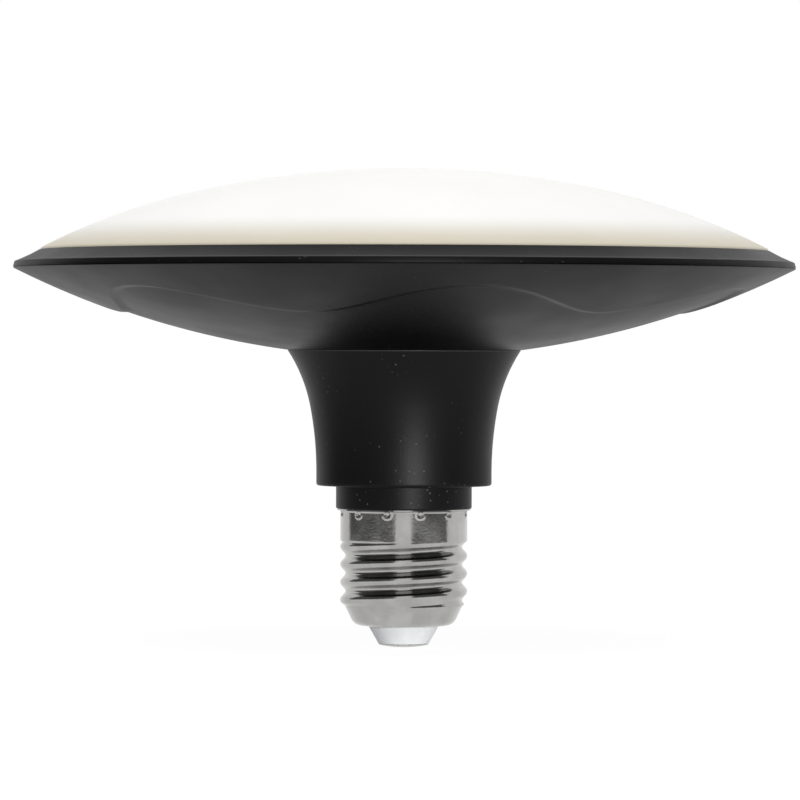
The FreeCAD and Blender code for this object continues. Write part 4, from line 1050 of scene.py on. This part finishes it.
studio_piece("studio_floor", flat_corners(FLOOR_HALF, FLOOR_LEVEL), [(0, 1, 2, 3)], floor_finish())
white_world()

# %% [markdown]
# ## What the gloss mirrors
#
# Satin black and nickel look the way they do because of what stands round them. On a white floor
# with a white background they would turn pale all over, so a photographer stands black flags beside
# the lamp: the metal then shows the white between the flags as light bands and the flags as dark
# ones. The flags here stand on the floor outside the view. Only mirrored rays see them, so they
# take no plain light from the lamp. Azimuth is counted from the camera towards the right.

# %% Flags of the studio
FLAG_GLOW = 0.11
FLAG_HEIGHT = 0.50
FLAG_STEPS = 12
FLAGS = {
    # name: (from azimuth, to azimuth, in degrees, distance in metres)
    "left_flag": (-114, -16, 0.30),
    "right_flag": (14, 84, 0.30),
}


def flag_finish():
    material, board = bare_material("flag_cloth")
    cloth = board.node("ShaderNodeEmission", {}, {"Color": (1, 1, 1, 1), "Strength": FLAG_GLOW})
    board.leave("ShaderNodeOutputMaterial", cloth)
    return material


def make_flag(name, start, stop, distance, finish):
    """A black cloth bent round the lamp, upright on the floor between two azimuths."""
    corners, faces = [], []
    for step in range(FLAG_STEPS + 1):
        turn = math.radians(start + (stop - start) * step / FLAG_STEPS)
        for level in (FLOOR_LEVEL, FLOOR_LEVEL + FLAG_HEIGHT):
            corners.append((distance * math.sin(turn), -distance * math.cos(turn), level))
    for step in range(FLAG_STEPS):
        low = 2 * step
        faces.append((low, low + 2, low + 3, low + 1))
    flag = studio_piece(name, corners, faces, finish)
    for kind in ("camera", "diffuse", "shadow", "transmission"):
        setattr(flag, f"visible_{kind}", False)


cloth = flag_finish()
for name, (start, stop, distance) in FLAGS.items():
    make_flag(name, start, stop, distance, cloth)
print("studio flags:", len(FLAGS))

# %% [markdown]
# ## Lights and camera
#
# One large soft light hangs over the dome and a little in front. Three smaller ones are in front:
# one draws the gleam down the neck, one lights the dish along its rim, and one fills in the tip.
# Each of the three is linked to the pieces it is meant for, as a photographer masks a lamp off from
# the shiny cap. The camera stands a little below the rim, far off and with a long lens, as the
# photograph shows the dome and the dish nearly edge on.

# %% Lights
def soft_light(name, place, target, size, power, mirrored=True, only=()):
    data = bpy.data.lights.new(name, "AREA")
    data.shape = "RECTANGLE"
    data.size, data.size_y = size
    data.energy = power
    light = bpy.data.objects.new(name, data)
    bpy.context.scene.collection.objects.link(light)
    light.location = place
    light.rotation_mode = "QUATERNION"
    light.rotation_quaternion = (Vector(target) - Vector(place)).to_track_quat("-Z", "Y")
    light.visible_glossy = mirrored
    if only:
        lit = bpy.data.collections.new(f"{name}_lit")
        for piece in only:
            lit.objects.link(piece)
        light.light_linking.receiver_collection = lit


TARGET = (0.0, 0.0, 0.03)
soft_light("top_light", (0.0, -0.45, 1.0), TARGET, (1.0, 1.0), 8.7, mirrored=False)
soft_light("gleam_light", (0.235, -0.95, 0.035), (0.0, 0.0, 0.02), (0.14, 0.12), 13.0, only=[neck])
soft_light("rim_light", (0.12, -0.85, 0.50), (0.0, 0.0, 0.055), (0.12, 0.12), 4.0, only=[dish])
soft_light("tip_light", (0.16, -0.47, 0.02), (0.0, 0.0, -0.02), (0.4, 0.08), 2.2, mirrored=False,
           only=[insulator, contact])

# %% Camera
PIXELS = 800
FOCAL_PIXELS = 5369.0
SENSOR = 36.0
CAMERA_DISTANCE = 1.10
CAMERA_HEIGHT = 0.0408
CAMERA_SIDE = -0.00088
CAMERA_PITCH = math.radians(0.658)
CAMERA_ROLL = math.radians(-0.15)

camera_data = bpy.data.cameras.new("photo_camera")
camera_data.sensor_width = SENSOR
camera_data.lens = FOCAL_PIXELS * SENSOR / PIXELS
camera_data.clip_start = 0.05
camera_data.clip_end = 50.0
camera = bpy.data.objects.new("photo_camera", camera_data)
bpy.context.scene.collection.objects.link(camera)
camera.location = (CAMERA_SIDE, -CAMERA_DISTANCE, CAMERA_HEIGHT)
camera.rotation_euler = (math.pi / 2 - CAMERA_PITCH, CAMERA_ROLL, 0.0)
bpy.context.scene.camera = camera
print(f"lens {camera_data.lens:.1f} mm at {CAMERA_DISTANCE} m")

# %% Colour view and scene update
bpy.context.scene.view_settings.view_transform = "Standard"
bpy.context.view_layer.update()
